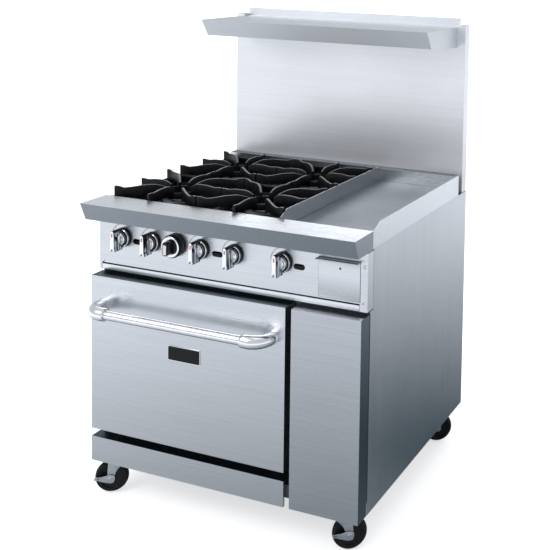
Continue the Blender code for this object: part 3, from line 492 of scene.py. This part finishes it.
def upright(where):
    """The same matrix, turned half round about its Z if its Y points down."""
    hangs = (where.to_3x3() @ Vector((0, 1, 0))).z < 0
    return where @ Matrix.Rotation(math.pi, 4, "Z") if hangs else where


# --- sheet metal ----------------------------------------------------------------------------------


def sheet_metal():
    """The CAD sheets keep their shapes. They get folded-edge radii and their steels."""
    looks = {
        "cover": ("right_cover",),
        "front": ("kick_plate", "control_panel", "door_shell", "rear_trim"),
        "side": ("left_side_panel", "right_side_panel", "back_panel", "left_top_trim"),
        "riser": ("riser",),
        "shelf": ("high_shelf",),
        "rail": ("front_rail",),
        "top": ("griddle_splash_guard", "grease_trough"),
        "griddle": ("griddle_plate",),
        "dark_steel": ("front_frame", "base_frame", "griddle_burner", "oven_burner"),
        "enamel": ("cooktop_frame", "oven_liner", "oven_deck", "door_liner"),
        "chrome": ("pilot_tube", "oven_rack_upper", "oven_rack_lower"),
        "zinc": ("oven_thermostat", "door_hinge_left", "door_hinge_right"),
        "brass": ("gas_manifold",),
    }
    for look, names in looks.items():
        for name in names:
            for slot in NODES[name].material_slots:
                slot.material = LOOKS[look]
    for name in ("right_cover", "kick_plate", "door_shell", "front_rail"):
        rounded(NODES[name], 0.0022, 3)
    for name in ("riser", "high_shelf", "griddle_splash_guard", "control_panel", "rear_trim"):
        rounded(NODES[name], 0.0006, 2)


def add_screw(shape, point, toward, radius=0.0042):
    """A low domed screw head with a cross recess, standing on a surface."""
    dome = [(1.0, -0.0003), (1.0, 0.0006), (0.8, 0.0017), (0.4, 0.0023), (0.0, 0.0024)]
    where = facing(point, toward)
    add_turned(shape, [(radius * part, height) for part, height in dome], where, 20)
    # The cross recess is a thin black cross laid on the dome: painted shade in the recess.
    long, half = radius * 0.5, 0.0004
    slot = [(-long, -half), (long, -half), (long, half), (-long, half)]
    for turn in (0, math.pi / 2):
        flat = where @ Matrix.Rotation(turn, 4, "Z")
        add_prism(shape, slot, 0.0002, lifted(flat, 0.00235), 1)


def screws():
    """The screws of the control panel, the side panels, the back and the riser."""
    inset, riser_inset = 0.014, 0.0065
    front, rear = (0, -1, 0), (0, 1, 0)
    low, high = corners("control_panel")
    shape = bmesh.new()
    for x in (low.x + inset, high.x - inset):
        add_screw(shape, (x, low.y, low.z + 0.026), front)
    piece("panel_screws", shape, ("chrome", "black"), "cabinet", "chrome")
    low, high = corners("right_side_panel")
    shape = bmesh.new()
    rear_x, rear_y = high.x, corners("back_panel")[1].y
    for k in range(5):
        z = low.z + 0.04 + k * (high.z - low.z - 0.08) / 4
        for x in (-rear_x + inset, rear_x - inset):
            add_screw(shape, (x, rear_y, z), rear)
    for k in range(5):
        x = -0.40 + k * 0.20
        for z in (low.z + inset, high.z - inset):
            add_screw(shape, (x, rear_y, z), rear)
    riser_y = corners("riser")[1].y
    for k in range(4):
        z = high.z + 0.05 + k * 0.155
        for x in (-rear_x + riser_inset, rear_x - riser_inset):
            add_screw(shape, (x, riser_y, z), rear, 0.0036)
    piece("back_screws", shape, ("chrome", "black"), "cabinet", "chrome")


def door_badge():
    """The blank name plate: a black face in a thin bright frame."""
    low, high = corners("badge_plate")
    centre = (low + high) / 2
    wide, tall = (high.x - low.x) / 2, (high.z - low.z) / 2
    shape = bmesh.new()
    where = facing((centre.x, high.y, centre.z), (0, -1, 0))
    corner = 0.005
    for inset, thickness, look in ((0.0, 0.0018, 1), (0.0016, 0.0023, 0)):
        outline = []
        for cx, cy, first in ((1, 1, 0), (-1, 1, 90), (-1, -1, 180), (1, -1, 270)):
            for step in range(5):
                angle = math.radians(first + step * 22.5)
                a = cx * (wide - corner) + (corner - inset) * math.cos(angle)
                b = cy * (tall - corner) + (corner - inset) * math.sin(angle)
                outline.append((a, b))
        add_prism(shape, outline, thickness, where, look)
    piece("badge", shape, ("badge", "chrome"), "oven_door", "black_plastic", "badge_plate")


def crumb_tray():
    """The tray's pan behind its front strip, which leaves a dark line open under the control panel."""
    low, high = corners("crumb_tray")
    wall, strip, reveal, hair = 0.0015, 0.0020, 0.0036, 0.0002
    left, right = low.x + 0.0025, high.x - 0.0025
    front, back = low.y + 0.001, high.y
    base, rim = low.z + 0.0015, high.z - 0.0040
    shape = bmesh.new()
    add_box(shape, low, (high.x, low.y + strip, high.z - reveal), 0, 0.0005)
    # Painted shade: the pan's floor and walls take the darker steel, so the gap under the control panel
    # reads as a dark line.
    add_box(shape, (left, front, base), (right, back, base + wall), 1)
    for start, end in ((left, left + wall), (right - wall, right)):
        add_box(shape, (start, front, base + hair), (end, back - hair, rim), 1)
    add_box(shape, (left + hair, back - wall, base + 2 * hair), (right - hair, back, rim), 1)
    piece("crumb_tray_pan", shape, ("tray", "dark_steel"), "crumb_tray", "brushed_steel", "crumb_tray")


def drawer_front():
    """The grease drawer's front: a pull bent out along its top, wider than the front, a hole and a catch
    screw.
    """
    low, high = corners("grease_drawer")
    panel_y = corners("control_panel")[0].y
    face_y, bend, sheet = panel_y - 0.0015, 0.0045, 0.0014
    shape = bmesh.new()
    add_box(shape, (low.x, face_y, low.z), (high.x, panel_y + 0.0004, high.z - 0.0004), 0, 0.0005)
    pull = []
    for step in range(9):
        angle = math.pi / 2 * step / 8
        a, b = bend * (1 - math.cos(angle)), bend * math.sin(angle)
        pull.append((face_y - a, high.z - 0.0050 + b))
    for out, drop in ((0.004, 0.0005), (0.0012, 0.0016), (0.0008, 0.0050)):
        pull.append((low.y + out, high.z - drop))
    add_strip(shape, pull, low.x - 0.001, high.x + 0.001, sheet, 2)
    wall, rim_z = 0.0015, 0.788
    left, right = low.x + 0.003, high.x - 0.003
    front, back, base = panel_y + 0.0005, high.y, low.z + 0.0035
    add_box(shape, (left, front, base), (left + wall, back, rim_z))
    add_box(shape, (right - wall, front, base), (right, back, rim_z))
    add_box(shape, (left, front, base), (right, back, base + wall))
    add_box(shape, (left, back - wall, base), (right, back, rim_z))
    # The hole is a thin black disc on the face: painted shade in the hole.
    hole = facing(((low.x + high.x) / 2 + 0.003, panel_y - 0.0014, high.z - 0.026), (0, -1, 0))
    add_turned(shape, [(0.0032, 0.0), (0.0032, 0.0003), (0.0, 0.0003)], hole, 16, 1)
    looks = ("front", "black", "side")
    piece("drawer_with_pull", shape, looks, "grease_drawer", "brushed_steel", "grease_drawer")
    shape = bmesh.new()
    add_screw(shape, (high.x + 0.0135, panel_y, high.z - 0.012), (0, -1, 0), 0.0050)
    piece("drawer_catch_screw", shape, ("chrome", "black"), "cabinet", "chrome")


def add_strip(shape, line, start, end, thickness, look=0):
    """Sheet of the given thickness along a (y, z) line, from start to end in X."""
    left, right = [], []
    line = [Vector(spot) for spot in line]
    for i, spot in enumerate(line):
        along = direction(line, i)
        side = Vector((-along.y, along.x)) * thickness / 2
        left.append(spot + side)
        right.append(spot - side)
    outline = left + right[::-1]
    rings = [[shape.verts.new((x, spot.x, spot.y)) for spot in outline] for x in (start, end)]
    join_rings(shape, *rings, look)
    last = len(outline) - 1
    for ring in rings:
        for k in range(len(left) - 1):
            loop = (ring[k], ring[k + 1], ring[last - 1 - k], ring[last - k])
            shape.faces.new(loop).material_index = look


# --- the door handle ------------------------------------------------------------------------------


def door_handle():
    """A polished tube in two cast elbows that widen into flat feet on the door."""
    low, high = corners("door_handle_tube")
    axis_y, axis_z = (low.y + high.y) / 2, (low.z + high.z) / 2
    radius = (high.y - low.y) / 2
    shape = bmesh.new()
    profile = [(0.0, low.x), (radius, low.x), (radius, high.x), (0.0, high.x)]
    along_x = Matrix.Translation((0, axis_y, axis_z)) @ Matrix.Rotation(math.pi / 2, 4, "Y")
    add_turned(shape, profile, along_x, 48)
    piece("handle_tube", shape, "handle", "oven_door", "chrome", "door_handle_tube")
    door_face = corners("door_shell")[0].y
    socket = 0.020
    for side, way in (("left", -1), ("right", 1)):
        node = "door_handle_elbow_" + side
        low, high = corners(node)
        start, end = (high.x, low.x) if way < 0 else (low.x, high.x)
        elbow = (high.z - low.z) / 2
        bend = abs(end - start) - elbow - socket
        line, widths = [], []
        for step, swell in ((0.0, 1.00), (0.001, 1.06), (0.010, 1.10)):
            line.append(Vector((start + way * step, axis_y, axis_z)))
            widths.append(swell)
        turn_x = start + way * socket
        for step in range(13):
            angle = math.pi / 2 * step / 12
            x = turn_x + way * bend * math.sin(angle)
            line.append(Vector((x, axis_y + bend * (1 - math.cos(angle)), axis_z)))
            widths.append(1.12)
        line.append(Vector((turn_x + way * bend, door_face - 0.0004, axis_z)))
        widths.append(1.0)
        last = len(line) - 1

        def section(i, widths=widths, last=last, elbow=elbow):
            foot = max(0.0, (i - last * 0.45) / (last * 0.55))
            width = elbow * widths[i]
            return ellipse(width, width * (1.0 - 0.16 * foot), 28, 1.0 - 0.25 * foot)

        shape = bmesh.new()
        add_sweep(shape, line, section)
        piece("handle_elbow_" + side, shape, "handle", "oven_door", "chrome", node, smooth=50)


# --- the grates and burners -----------------------------------------------------------------------


FINGER_HALF = 0.0042
FINGER_LIFT = 0.012
RIM_WIDTH = 0.0095


def finger_section(bottom, top):
    """An upright blade with a rounded top edge and a little draft."""
    half = FINGER_HALF
    crown = half * 0.45
    points = [(-half * 0.86, bottom), (half * 0.86, bottom), (half, top - crown)]
    for step in range(1, 6):
        angle = math.pi * step / 6
        points.append((half * math.cos(angle), top - crown + crown * math.sin(angle)))
    points.append((-half, top - crown))
    return points


def add_finger(shape, path, places, feet, tops):
    """A finger along a path in plan. Feet and tops are (place, height) stops, the path's end at 1."""
    rings = []
    for i, (spot, place) in enumerate(zip(path, places)):
        along = direction(path, i)
        side = Vector((-along.y, along.x))
        section = finger_section(ramp(place, feet), ramp(place, tops))
        rings.append([shape.verts.new((spot.x + side.x * a, spot.y + side.y * a, z)) for a, z in section])
    for near, far in zip(rings, rings[1:]):
        join_rings(shape, near, far)
    shape.faces.new(rings[0])
    shape.faces.new(rings[-1][::-1])


def ramp(value, stops):
    """Straight-line interpolation through (place, height) stops."""
    for (a, low), (b, high) in zip(stops, stops[1:]):
        if value <= b:
            return low + (high - low) * (value - a) / (b - a)
    return stops[-1][1]


def grate_shape(low, high):
    """A cast grate centred on the origin in plan: straight and curved fingers, a rim and a tie ring."""
    half_x, half_y = (high.x - low.x) / 2, (high.y - low.y) / 2
    foot, crown = low.z, high.z - 0.0002
    raised = foot + FINGER_LIFT
    shape = bmesh.new()
    tops = ((0.0, crown - 0.001), (0.10, crown - 0.001), (0.24, crown - 0.0062), (0.42, crown - 0.004),
            (0.62, crown), (0.82, crown - 0.0005), (0.93, crown - 0.007), (1.0, crown - 0.013))
    feet = ((0.0, foot), (0.12, foot), (0.22, raised), (0.72, raised), (0.85, foot), (1.0, foot))
    start, turn, tip = Vector((half_x - 0.0010, 0.1235)), Vector((0.094, 0.1135)), Vector((0.0300, 0.0320))
    places = [step / 20 for step in range(21)]
    curve = [start * (1 - t) ** 2 + turn * 2 * t * (1 - t) + tip * t**2 for t in places]
    for across in (-1, 1):
        for deep in (-1, 1):
            path = [Vector((spot.x * across, spot.y * deep)) for spot in curve]
            add_finger(shape, path, places, feet, tops)
    tops = ((0.0, crown - 0.004), (0.10, crown - 0.004), (0.20, crown - 0.006), (0.45, crown - 0.002),
            (0.74, crown - 0.0015), (0.88, crown - 0.005), (0.96, crown - 0.010), (1.0, crown - 0.013))
    feet = ((0.0, foot), (0.1, foot), (0.22, raised), (0.70, raised), (0.84, foot), (1.0, foot))
    places = [step / 14 for step in range(15)]
    long, short, tip_radius = half_x - 0.0004, half_y - 0.002, 0.0365
    for dx, dy, reach in ((1, 0, long), (-1, 0, long), (0, 1, short), (0, -1, short)):
        path = [Vector((dx, dy)) * (reach + (tip_radius - reach) * t) for t in places]
        add_finger(shape, path, places, feet, tops)
    rim_x, rim_y = half_x - 0.006, half_y - 0.0002
    for way in (-1, 1):
        edge = sorted((way * rim_y, way * (rim_y - RIM_WIDTH)))
        add_box(shape, (-rim_x, edge[0], foot), (rim_x, edge[1], foot + 0.0215), 0, 0.0022)
        edge = sorted((way * rim_x, way * (rim_x - RIM_WIDTH)))
        add_box(shape, (edge[0], -rim_y + 0.001, foot), (edge[1], rim_y - 0.001, foot + 0.0125), 0, 0.0022)
    ring = [(0.0435, 0.002), (0.0515, 0.002), (0.0520, 0.018), (0.0505, 0.021), (0.0450, 0.021),
            (0.0435, 0.0195), (0.0435, 0.002)]
    add_turned(shape, [(radius, foot + height) for radius, height in ring], Matrix.Identity(4), 48)
    return shape


def grates():
    """One casting, copied for the three other burners."""
    first = None
    for corner in CORNERS:
        node = "grate_" + corner
        low, high = corners(node)
        centre = (low + high) / 2
        if first is None:
            shape = grate_shape(low, high)
            bmesh.ops.translate(shape, vec=(centre.x, centre.y, 0), verts=shape.verts)
            first = piece("grate_casting_" + corner, shape, "iron", node, "cast_iron", node, smooth=38)
            home = centre
            continue
        mesh = first.data.copy()
        mesh.transform(Matrix.Translation((centre.x - home.x, centre.y - home.y, 0)))
        made = link_object("grate_casting_" + corner, mesh)
        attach(made, node)
        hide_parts(node)


def burners():
    """The CAD castings, with a machined port ring laid on each head and two rings of ports in it."""
    land = 0.0006
    ring = [(0.0262, -0.001), (0.0280, land), (0.0495, land), (0.0525, -0.001), (0.0262, -0.001)]
    port = [(0.0017, 0.0), (0.0017, 0.0002), (0.0, 0.0002)]
    for corner in CORNERS:
        node = "burner_" + corner
        for slot in NODES[node].material_slots:
            slot.material = LOOKS["burner"]
        grate = middle("grate_" + corner)
        shape = bmesh.new()
        where = Matrix.Translation((grate.x, grate.y, corners(node)[1].z))
        add_turned(shape, ring, where, 48)
        # Each port is a thin black disc laid on the ring: painted shade in the port.
        for angle in circle(28):
            for radius in (0.0330, 0.0440):
                spot = Matrix.Translation(on_circle(angle, radius, land))
                add_turned(shape, port, where @ spot, 8, 1)
        piece("burner_ports_" + corner, shape, ("burner", "black"), "cabinet", "burner_iron")


# --- knobs ----------------------------------------------------------------------------------------


def mirrored(half):
    """A closed outline from its right half, given from the top down, and the same mirrored back up."""
    return half + [(-a, b) for a, b in reversed(half) if a]


def knob_shape(low, high, at):
    """A lever knob: dark skirt, bright rim and boss, and a tall lever with a notched foot, a black tip
    and a red pointer."""
    where = facing(at, (0, -1, 0))
    depth, near = at.y - low.y, at.y - high.y
    radius = (high.x - low.x) / 2
    shape = bmesh.new()
    skirt = [(0.0048, 0.0010), (radius - 0.0020, 0.0002), (radius - 0.0004, 0.0016),
             (radius - 0.0008, 0.0064), (radius - 0.0040, 0.0082)]
    rim = [(radius - 0.0042, 0.0068), (radius - 0.0024, 0.0080), (radius - 0.0024, 0.0098),
           (radius - 0.0046, 0.0112), (radius - 0.0062, 0.0104)]
    neck = [(radius - 0.0054, 0.0100), (radius * 0.74, 0.0130), (radius * 0.70, 0.0150)]
    boss = [(radius * 0.705, 0.0145), (radius * 0.71, 0.0180), (radius * 0.67, 0.0200),
            (radius * 0.60, 0.0206), (radius * 0.50, 0.0240), (0.0, 0.0262)]
    for profile, look in ((skirt, 1), (rim, 0), (neck, 1), (boss, 0)):
        add_turned(shape, profile, lifted(where, near), 48, look)
    above, below = high.z - at.z - 0.0008, at.z - low.z - 0.0008
    lever = mirrored([(0.0036, above), (0.0052, above - 0.004), (0.0062, 0.010), (0.0066, -0.006),
                      (0.0068, -below * 0.60), (0.0094, -below), (0.0056, -below), (0.0, -below * 0.72)])
    plane = upright(where)
    add_prism(shape, lever, depth - near - 0.012, lifted(plane, near + 0.0115), 0, 0.0014, 3)
    tip = mirrored([(0.0040, above + 0.0004), (0.0054, above - 0.0052)])
    add_prism(shape, tip, depth - near - 0.0135, lifted(plane, near + 0.0118), 1, 0.0004)
    pointer = mirrored([(0.0016, above - 0.006), (0.0020, above * 0.42)])
    add_prism(shape, pointer, 0.0004, lifted(plane, depth - 0.0004), 2)
    return shape


def knobs():
    for number, node in enumerate(KNOBS, 1):
        low, high = corners(node)
        at = pivot(node + "_turn")
        shape = knob_shape(low, high, at)
        piece(f"lever_knob_{number}", shape, ("knob", "black", "red"), node, "chrome", node)


def thermostat():
    """The oven dial: a deep black body, a bright ring on its face and a black grip with a white pointer."""
    node = "thermostat_knob"
    low, high = corners(node)
    at = pivot("thermostat_turn")
    near, depth = at.y - high.y, at.y - low.y
    radius = (high.x - low.x) / 2
    where = facing(at, (0, -1, 0))
    shape = bmesh.new()
    body = [(0.0048, 0.0008), (radius - 0.0008, 0.0002), (radius, 0.0014), (radius - 0.0006, 0.0180),
            (radius - 0.0020, 0.0206), (radius - 0.0034, 0.0212), (0.0, 0.0212)]
    add_turned(shape, body, lifted(where, near), 56, 0)
    ring = [(radius * 0.60, 0.0205), (radius - 0.0030, 0.0205), (radius - 0.0032, 0.0222),
            (radius - 0.0048, 0.0232), (radius * 0.72, 0.0228), (radius * 0.62, 0.0218)]
    add_turned(shape, ring + ring[:1], lifted(where, near), 56, 1)
    rib = [(-0.001, -0.0009), (0.0014, -0.0006), (0.0014, 0.0006), (-0.001, 0.0009)]
    ridge = Matrix.Translation((radius - 0.0012, 0, near + 0.0030))
    for angle in circle(36):
        add_prism(shape, rib, 0.0145, where @ Matrix.Rotation(angle, 4, "Z") @ ridge, 0)
    grip = mirrored([(0.0050, 0.0200), (0.0085, 0.0160), (0.0085, -0.0160), (0.0050, -0.0200)])
    plane = upright(where)
    add_prism(shape, grip, depth - near - 0.0210, lifted(plane, near + 0.0206), 0, 0.0014, 3)
    pointer = mirrored([(0.0052, 0.0120), (0.0052, -0.0165)])
    add_prism(shape, pointer, 0.0006, lifted(plane, depth - 0.0006), 2)
    piece("oven_dial", shape, ("black", "chrome", "white"), node, "black_plastic", node)


def panel_prints():
    """A printed arc by each lever knob, and ticks round the oven dial."""
    print_y = corners("control_panel")[0].y - 0.0002
    shape = bmesh.new()

    def add_quad(centre, spots):
        shape.faces.new([shape.verts.new((centre.x + u, print_y, centre.z + v)) for u, v in spots])

    inner, outer = 0.0405, 0.0418
    angles = [math.radians(98 + step * 5.0) for step in range(17)]
    points = [Vector((math.cos(angle), math.sin(angle))) for angle in angles]
    for node in KNOBS:
        for a, b in zip(points, points[1:]):
            add_quad(pivot(node + "_turn"), (a * inner, b * inner, b * outer, a * outer))
    near, far, half = 0.0375, 0.0405, 0.0004
    for k in range(11):
        angle = math.radians(-45 + k * 27)
        out, side = Vector((math.cos(angle), math.sin(angle))), Vector((-math.sin(angle), math.cos(angle)))
        tick = [out * r + side * s for r, s in ((near, -half), (far, -half), (far, half), (near, half))]
        add_quad(pivot("thermostat_turn"), tick)
    bmesh.ops.solidify(shape, geom=list(shape.faces), thickness=0.0001)
    piece("panel_print", shape, "print", "cabinet", "black_plastic")


# --- casters --------------------------------------------------------------------------------------


def caster_frame(corner):
    """A matrix with its origin on the swivel axis at floor level, and -Y towards the wheel."""
    swivel = pivot(f"caster_{corner}_swivel")
    axle = pivot(f"wheel_{corner}_roll")
    trail = Vector((axle.x - swivel.x, axle.y - swivel.y, 0))
    turn = math.atan2(trail.x, -trail.y)
    return Matrix.Translation((swivel.x, swivel.y, 0)) @ Matrix.Rotation(turn, 4, "Z"), trail.length, axle.z


def add_plate(shape, where, outline, inner, outer, bevel):
    """A side outline in (y, z), filled between two X planes."""
    side = Matrix(((0, 0, 1, inner), (1, 0, 0, 0), (0, 1, 0, 0), (0, 0, 0, 1)))
    add_prism(shape, outline, outer - inner, where @ side, 0, bevel)


FORK_TOP = 0.1120
FORK_HALF = 0.026
EYE = 0.0108


def fork_outline(trail, axle_z):
    """The leg's side outline: wide under the raceway, drawn in with curves to an eye round the axle."""
    points = [(FORK_HALF, FORK_TOP), (-FORK_HALF, FORK_TOP)]
    steps = [step / 7 for step in range(1, 7)]
    for t in steps:
        y = -FORK_HALF + (-trail - EYE + FORK_HALF) * (t**0.7)
        points.append((y, FORK_TOP - (FORK_TOP - axle_z) * t))
    for step in range(9):
        angle = math.pi + math.pi * step / 8
        points.append((-trail + EYE * math.cos(angle), axle_z + EYE * math.sin(angle)))
    for t in steps:
        y = -trail + EYE + (FORK_HALF + trail - EYE) * (t**1.8)
        points.append((y, axle_z + (0.100 - axle_z) * t**0.8))
    return points


def fork_shape(where, trail, axle_z, axle, top):
    """The raceway, two legs, the bridge between them, and the axle with its nuts and washers."""
    shape = bmesh.new()
    race = [(0.0, 0.0), (0.0290, 0.0), (0.0315, 0.0015), (0.0325, 0.0040), (0.0310, 0.0060),
            (0.0330, 0.0078), (0.0330, 0.0105), (0.0300, 0.0135), (0.0, 0.0135)]
    add_turned(shape, [(radius, top - drop) for radius, drop in race], where, 40)
    outline = fork_outline(trail, axle_z)
    for inner, outer in ((-0.0210, -0.0186), (0.0186, 0.0210)):
        add_plate(shape, where, outline, inner, outer, 0.0006)
    bridge = [(0.020, 0.1045), (-0.024, 0.1045), (-0.024, 0.1115), (0.020, 0.1115)]
    add_plate(shape, where, bridge, -0.0195, 0.0195, 0.0006)
    nut = [(0.0072, 0.0), (0.0072, 0.0042), (0.0060, 0.0052), (0.0, 0.0052)]
    washer = [(0.0088, 0.0), (0.0088, 0.0010), (0.0, 0.0010)]
    for way in (-1, 1):
        bolt = where @ Matrix.Translation((way * 0.0205, -trail, axle_z))
        bolt = bolt @ Matrix.Rotation(way * math.pi / 2, 4, "Y")
        add_turned(shape, nut, bolt, 6)
        add_turned(shape, washer, bolt, 24)
    add_turned(shape, [(0.0, -0.021), (0.0048, -0.021), (0.0048, 0.021), (0.0, 0.021)], axle, 16)
    return shape


def wheel_shape(radius, axle):
    """A crowned black tread on a dished hub, turned about the axle."""
    half, shoulder, edge = 0.016, 0.0055, math.radians(70)
    shape = bmesh.new()
    inner, outer = (radius - 0.013, half - 0.0020), (radius - 0.006, half - 0.0012)
    tread = [inner, outer]
    for step in range(7):
        angle = edge - step * 2 * edge / 6
        across = (half - 0.0065) * math.sin(angle) / math.sin(edge)
        tread.append((radius - shoulder + shoulder * math.cos(angle), across))
    tread += [(outer[0], -outer[1]), (inner[0], -inner[1]), inner]
    add_turned(shape, tread, axle, 56, 0)
    bore = radius - 0.0128
    dish = [(0.0058, 0.0), (0.0125, 0.0), (0.0135, 0.005), (0.0200, 0.0062), (0.0310, 0.0055),
            (0.0340, 0.0018), (bore, 0.0015)]
    hub = [(out, half - dip) for out, dip in dish] + [(out, dip - half) for out, dip in reversed(dish)]
    add_turned(shape, hub + hub[:1], axle, 48, 1)
    return shape


def casters():
    """Each caster's fork on its swivel and wheel on its axle, then the two front brakes."""
    for corner in CORNERS:
        where, trail, axle_z = caster_frame(corner)
        node = "caster_fork_" + corner
        axle = where @ Matrix.Translation((0, -trail, axle_z)) @ Matrix.Rotation(math.pi / 2, 4, "Y")
        shape = fork_shape(where, trail, axle_z, axle, corners(node)[1].z)
        piece("fork_" + corner, shape, "zinc", "caster_" + corner, "zinc", node)
        shape, node = wheel_shape(axle_z, axle), "caster_wheel_" + corner
        piece("wheel_tread_" + corner, shape, ("rubber", "black"), "wheel_" + corner, "black_rubber", node)
    for side in ("left", "right"):
        brake(side)


def brake(side):
    """A zinc-plated lever beside a front wheel: an arm from round the axle, with a ribbed toe tab."""
    turn = caster_frame("front_left")[0].to_3x3().to_4x4()
    where = Matrix.Translation(pivot(f"wheel_front_{side}_roll")) @ turn
    shape = bmesh.new()
    arm = [(0.0120, 0.0090), (0.0125, 0.0), (0.0090, -0.0110), (0.0, -0.0132), (-0.0080, -0.0120),
           (-0.0300, -0.0060), (-0.0470, 0.0028), (-0.0470, 0.0070), (-0.0280, 0.0080), (-0.0100, 0.0120),
           (0.0, 0.0132)]
    add_plate(shape, where, arm, 0.0227, 0.0243, 0.0004)
    tab = [(-0.0465, 0.0034), (-0.0330, 0.0034), (-0.0330, 0.0058), (-0.0465, 0.0058)]
    add_plate(shape, where, tab, 0.0236, 0.0338, 0.0007)
    for k in range(3):
        ridge = -0.0440 + k * 0.0040
        rib = [(ridge - 0.0011, 0.0056), (ridge, 0.0068), (ridge + 0.0011, 0.0056)]
        add_plate(shape, where, rib, 0.0250, 0.0330, 0.0)
    piece("brake_lever_" + side, shape, "zinc", "brake_" + side, "zinc", "brake_pedal_" + side)


# --- studio ---------------------------------------------------------------------------------------


def floor():
    """A pale ground, glowing white to the camera away from the range. Mirrors see it dark close by."""
    far = 30
    mesh = bpy.data.meshes.new("floor")
    mesh.from_pydata([(-far, -far, 0), (far, -far, 0), (far, far, 0), (-far, far, 0)], [], [(0, 1, 2, 3)])
    made = link_object("floor", mesh)
    paint = Paint("floor_pale", (0.88, 0.885, 0.89), 0.0, 0.9)
    mottle = paint.noise(0.7, 2.0)
    pale = paint.mix(paint.spread(mottle, 0.0, 1.0), (0.87, 0.875, 0.88), (0.89, 0.895, 0.90))
    rays = paint.node("ShaderNodeLightPath").outputs
    seen, mirrored = rays["Is Camera Ray"], rays["Is Glossy Ray"]
    paint.drive("Base Color", paint.mix(mirrored, pale, (0.04, 0.05, 0.06)))
    far_off = paint.away((0.6, 0.3, 0.0), 0.0, 1.0, 0.1, 3.0)
    shade = paint.mix(far_off, (0.035, 0.06, 0.072), (1.12, 1.15, 1.20))
    paint.drive("Emission Color", paint.mix(seen, shade, (1.0, 1.0, 1.0)))
    glow = paint.maths("MULTIPLY", seen, paint.away((0.0, 0.0, 0.0), 0.62, 0.95, 0.5, 1.6))
    paint.drive("Emission Strength", paint.maths("ADD", glow, mirrored))
    mesh.materials.append(paint.material)


def area_light(name, where, target, size, power):
    """A rectangular light at a place, turned to a target."""
    data = bpy.data.lights.new(name, "AREA")
    data.shape = "RECTANGLE"
    data.size, data.size_y = size
    data.energy = power
    made = link_object(name, data)
    made.location = where
    made.rotation_mode = "QUATERNION"
    made.rotation_quaternion = (Vector(target) - Vector(where)).to_track_quat("-Z", "Y")


def world():
    """A soft studio: white overhead, cooler and dimmer low down. The camera itself sees plain white."""
    made = bpy.data.worlds.new("studio")
    made.use_nodes = True
    tree = made.node_tree
    tree.nodes.clear()
    link = tree.links.new
    place = tree.nodes.new("ShaderNodeTexCoord")
    split = tree.nodes.new("ShaderNodeSeparateXYZ")
    link(place.outputs["Generated"], split.inputs["Vector"])
    ramp_node = tree.nodes.new("ShaderNodeValToRGB")
    stops = ramp_node.color_ramp.elements
    stops[0].position, stops[0].color = 0.0, (0.30, 0.33, 0.37, 1)
    stops[1].position, stops[1].color = 1.0, (0.80, 0.82, 0.86, 1)
    for place_at, grey in ((0.50, (0.80, 0.82, 0.86)), (0.64, (0.72, 0.75, 0.79))):
        stop = stops.new(place_at)
        stop.color = (*grey, 1)
    lift = tree.nodes.new("ShaderNodeMapRange")
    lift.inputs["From Min"].default_value = -1.0
    link(split.outputs["Z"], lift.inputs["Value"])
    link(lift.outputs["Result"], ramp_node.inputs["Fac"])
    soft = tree.nodes.new("ShaderNodeBackground")
    link(ramp_node.outputs["Color"], soft.inputs["Color"])
    soft.inputs["Strength"].default_value = 0.8
    white = tree.nodes.new("ShaderNodeBackground")
    white.inputs["Color"].default_value = (1, 1, 1, 1)
    path = tree.nodes.new("ShaderNodeLightPath")
    choose = tree.nodes.new("ShaderNodeMixShader")
    link(path.outputs["Is Camera Ray"], choose.inputs["Fac"])
    link(soft.outputs["Background"], choose.inputs[1])
    link(white.outputs["Background"], choose.inputs[2])
    out = tree.nodes.new("ShaderNodeOutputWorld")
    link(choose.outputs["Shader"], out.inputs["Surface"])
    bpy.context.scene.world = made


def camera(station, azimuth, elevation, roll, lens, across, rise):
    """A view camera whose film plane is tilted from its axis, as a rising and crossing front does. The
    tilt is held by the tripod that the camera is parented to, so off the tripod it is a plain camera."""
    a, e = math.radians(azimuth), math.radians(elevation)
    back = Vector((math.sin(a) * math.cos(e), -math.cos(a) * math.cos(e), math.sin(e)))
    right = Vector((math.cos(a), math.sin(a), 0))
    up = back.cross(right)
    turn = math.radians(roll)
    side = right * math.cos(turn) + up * math.sin(turn)
    rising = up * math.cos(turn) - right * math.sin(turn)
    axis = back + side * across + rising * rise
    tilt = Matrix((side, rising, axis.normalized())).transposed().to_4x4()
    data = bpy.data.cameras.new("camera")
    data.sensor_width = 36.0
    data.lens = lens * axis.length
    data.clip_start, data.clip_end = 0.1, 100
    tripod = link_object("tripod", None)
    made = link_object("camera", data)
    made.parent = tripod
    made.matrix_parent_inverse = Matrix.Translation(station) @ tilt
    bpy.context.scene.camera = made


sheet_metal()
screws()
door_badge()
crumb_tray()
drawer_front()
door_handle()
grates()
burners()
knobs()
thermostat()
panel_prints()
casters()
floor()
world()
RANGE_MIDDLE = (0, 0, 0.8)
area_light("key", (-1.8, -2.6, 3.0), RANGE_MIDDLE, size=(2.4, 1.8), power=44)
area_light("top", (0.2, 0.2, 3.4), RANGE_MIDDLE, size=(2.6, 2.0), power=14)
STATION = (1.5966, -2.5535, 1.6868)
camera(STATION, azimuth=18.95, elevation=3.80, roll=1.58, lens=60.80, across=0.2457, rise=0.2794)
bpy.context.scene.view_settings.view_transform = "Standard"
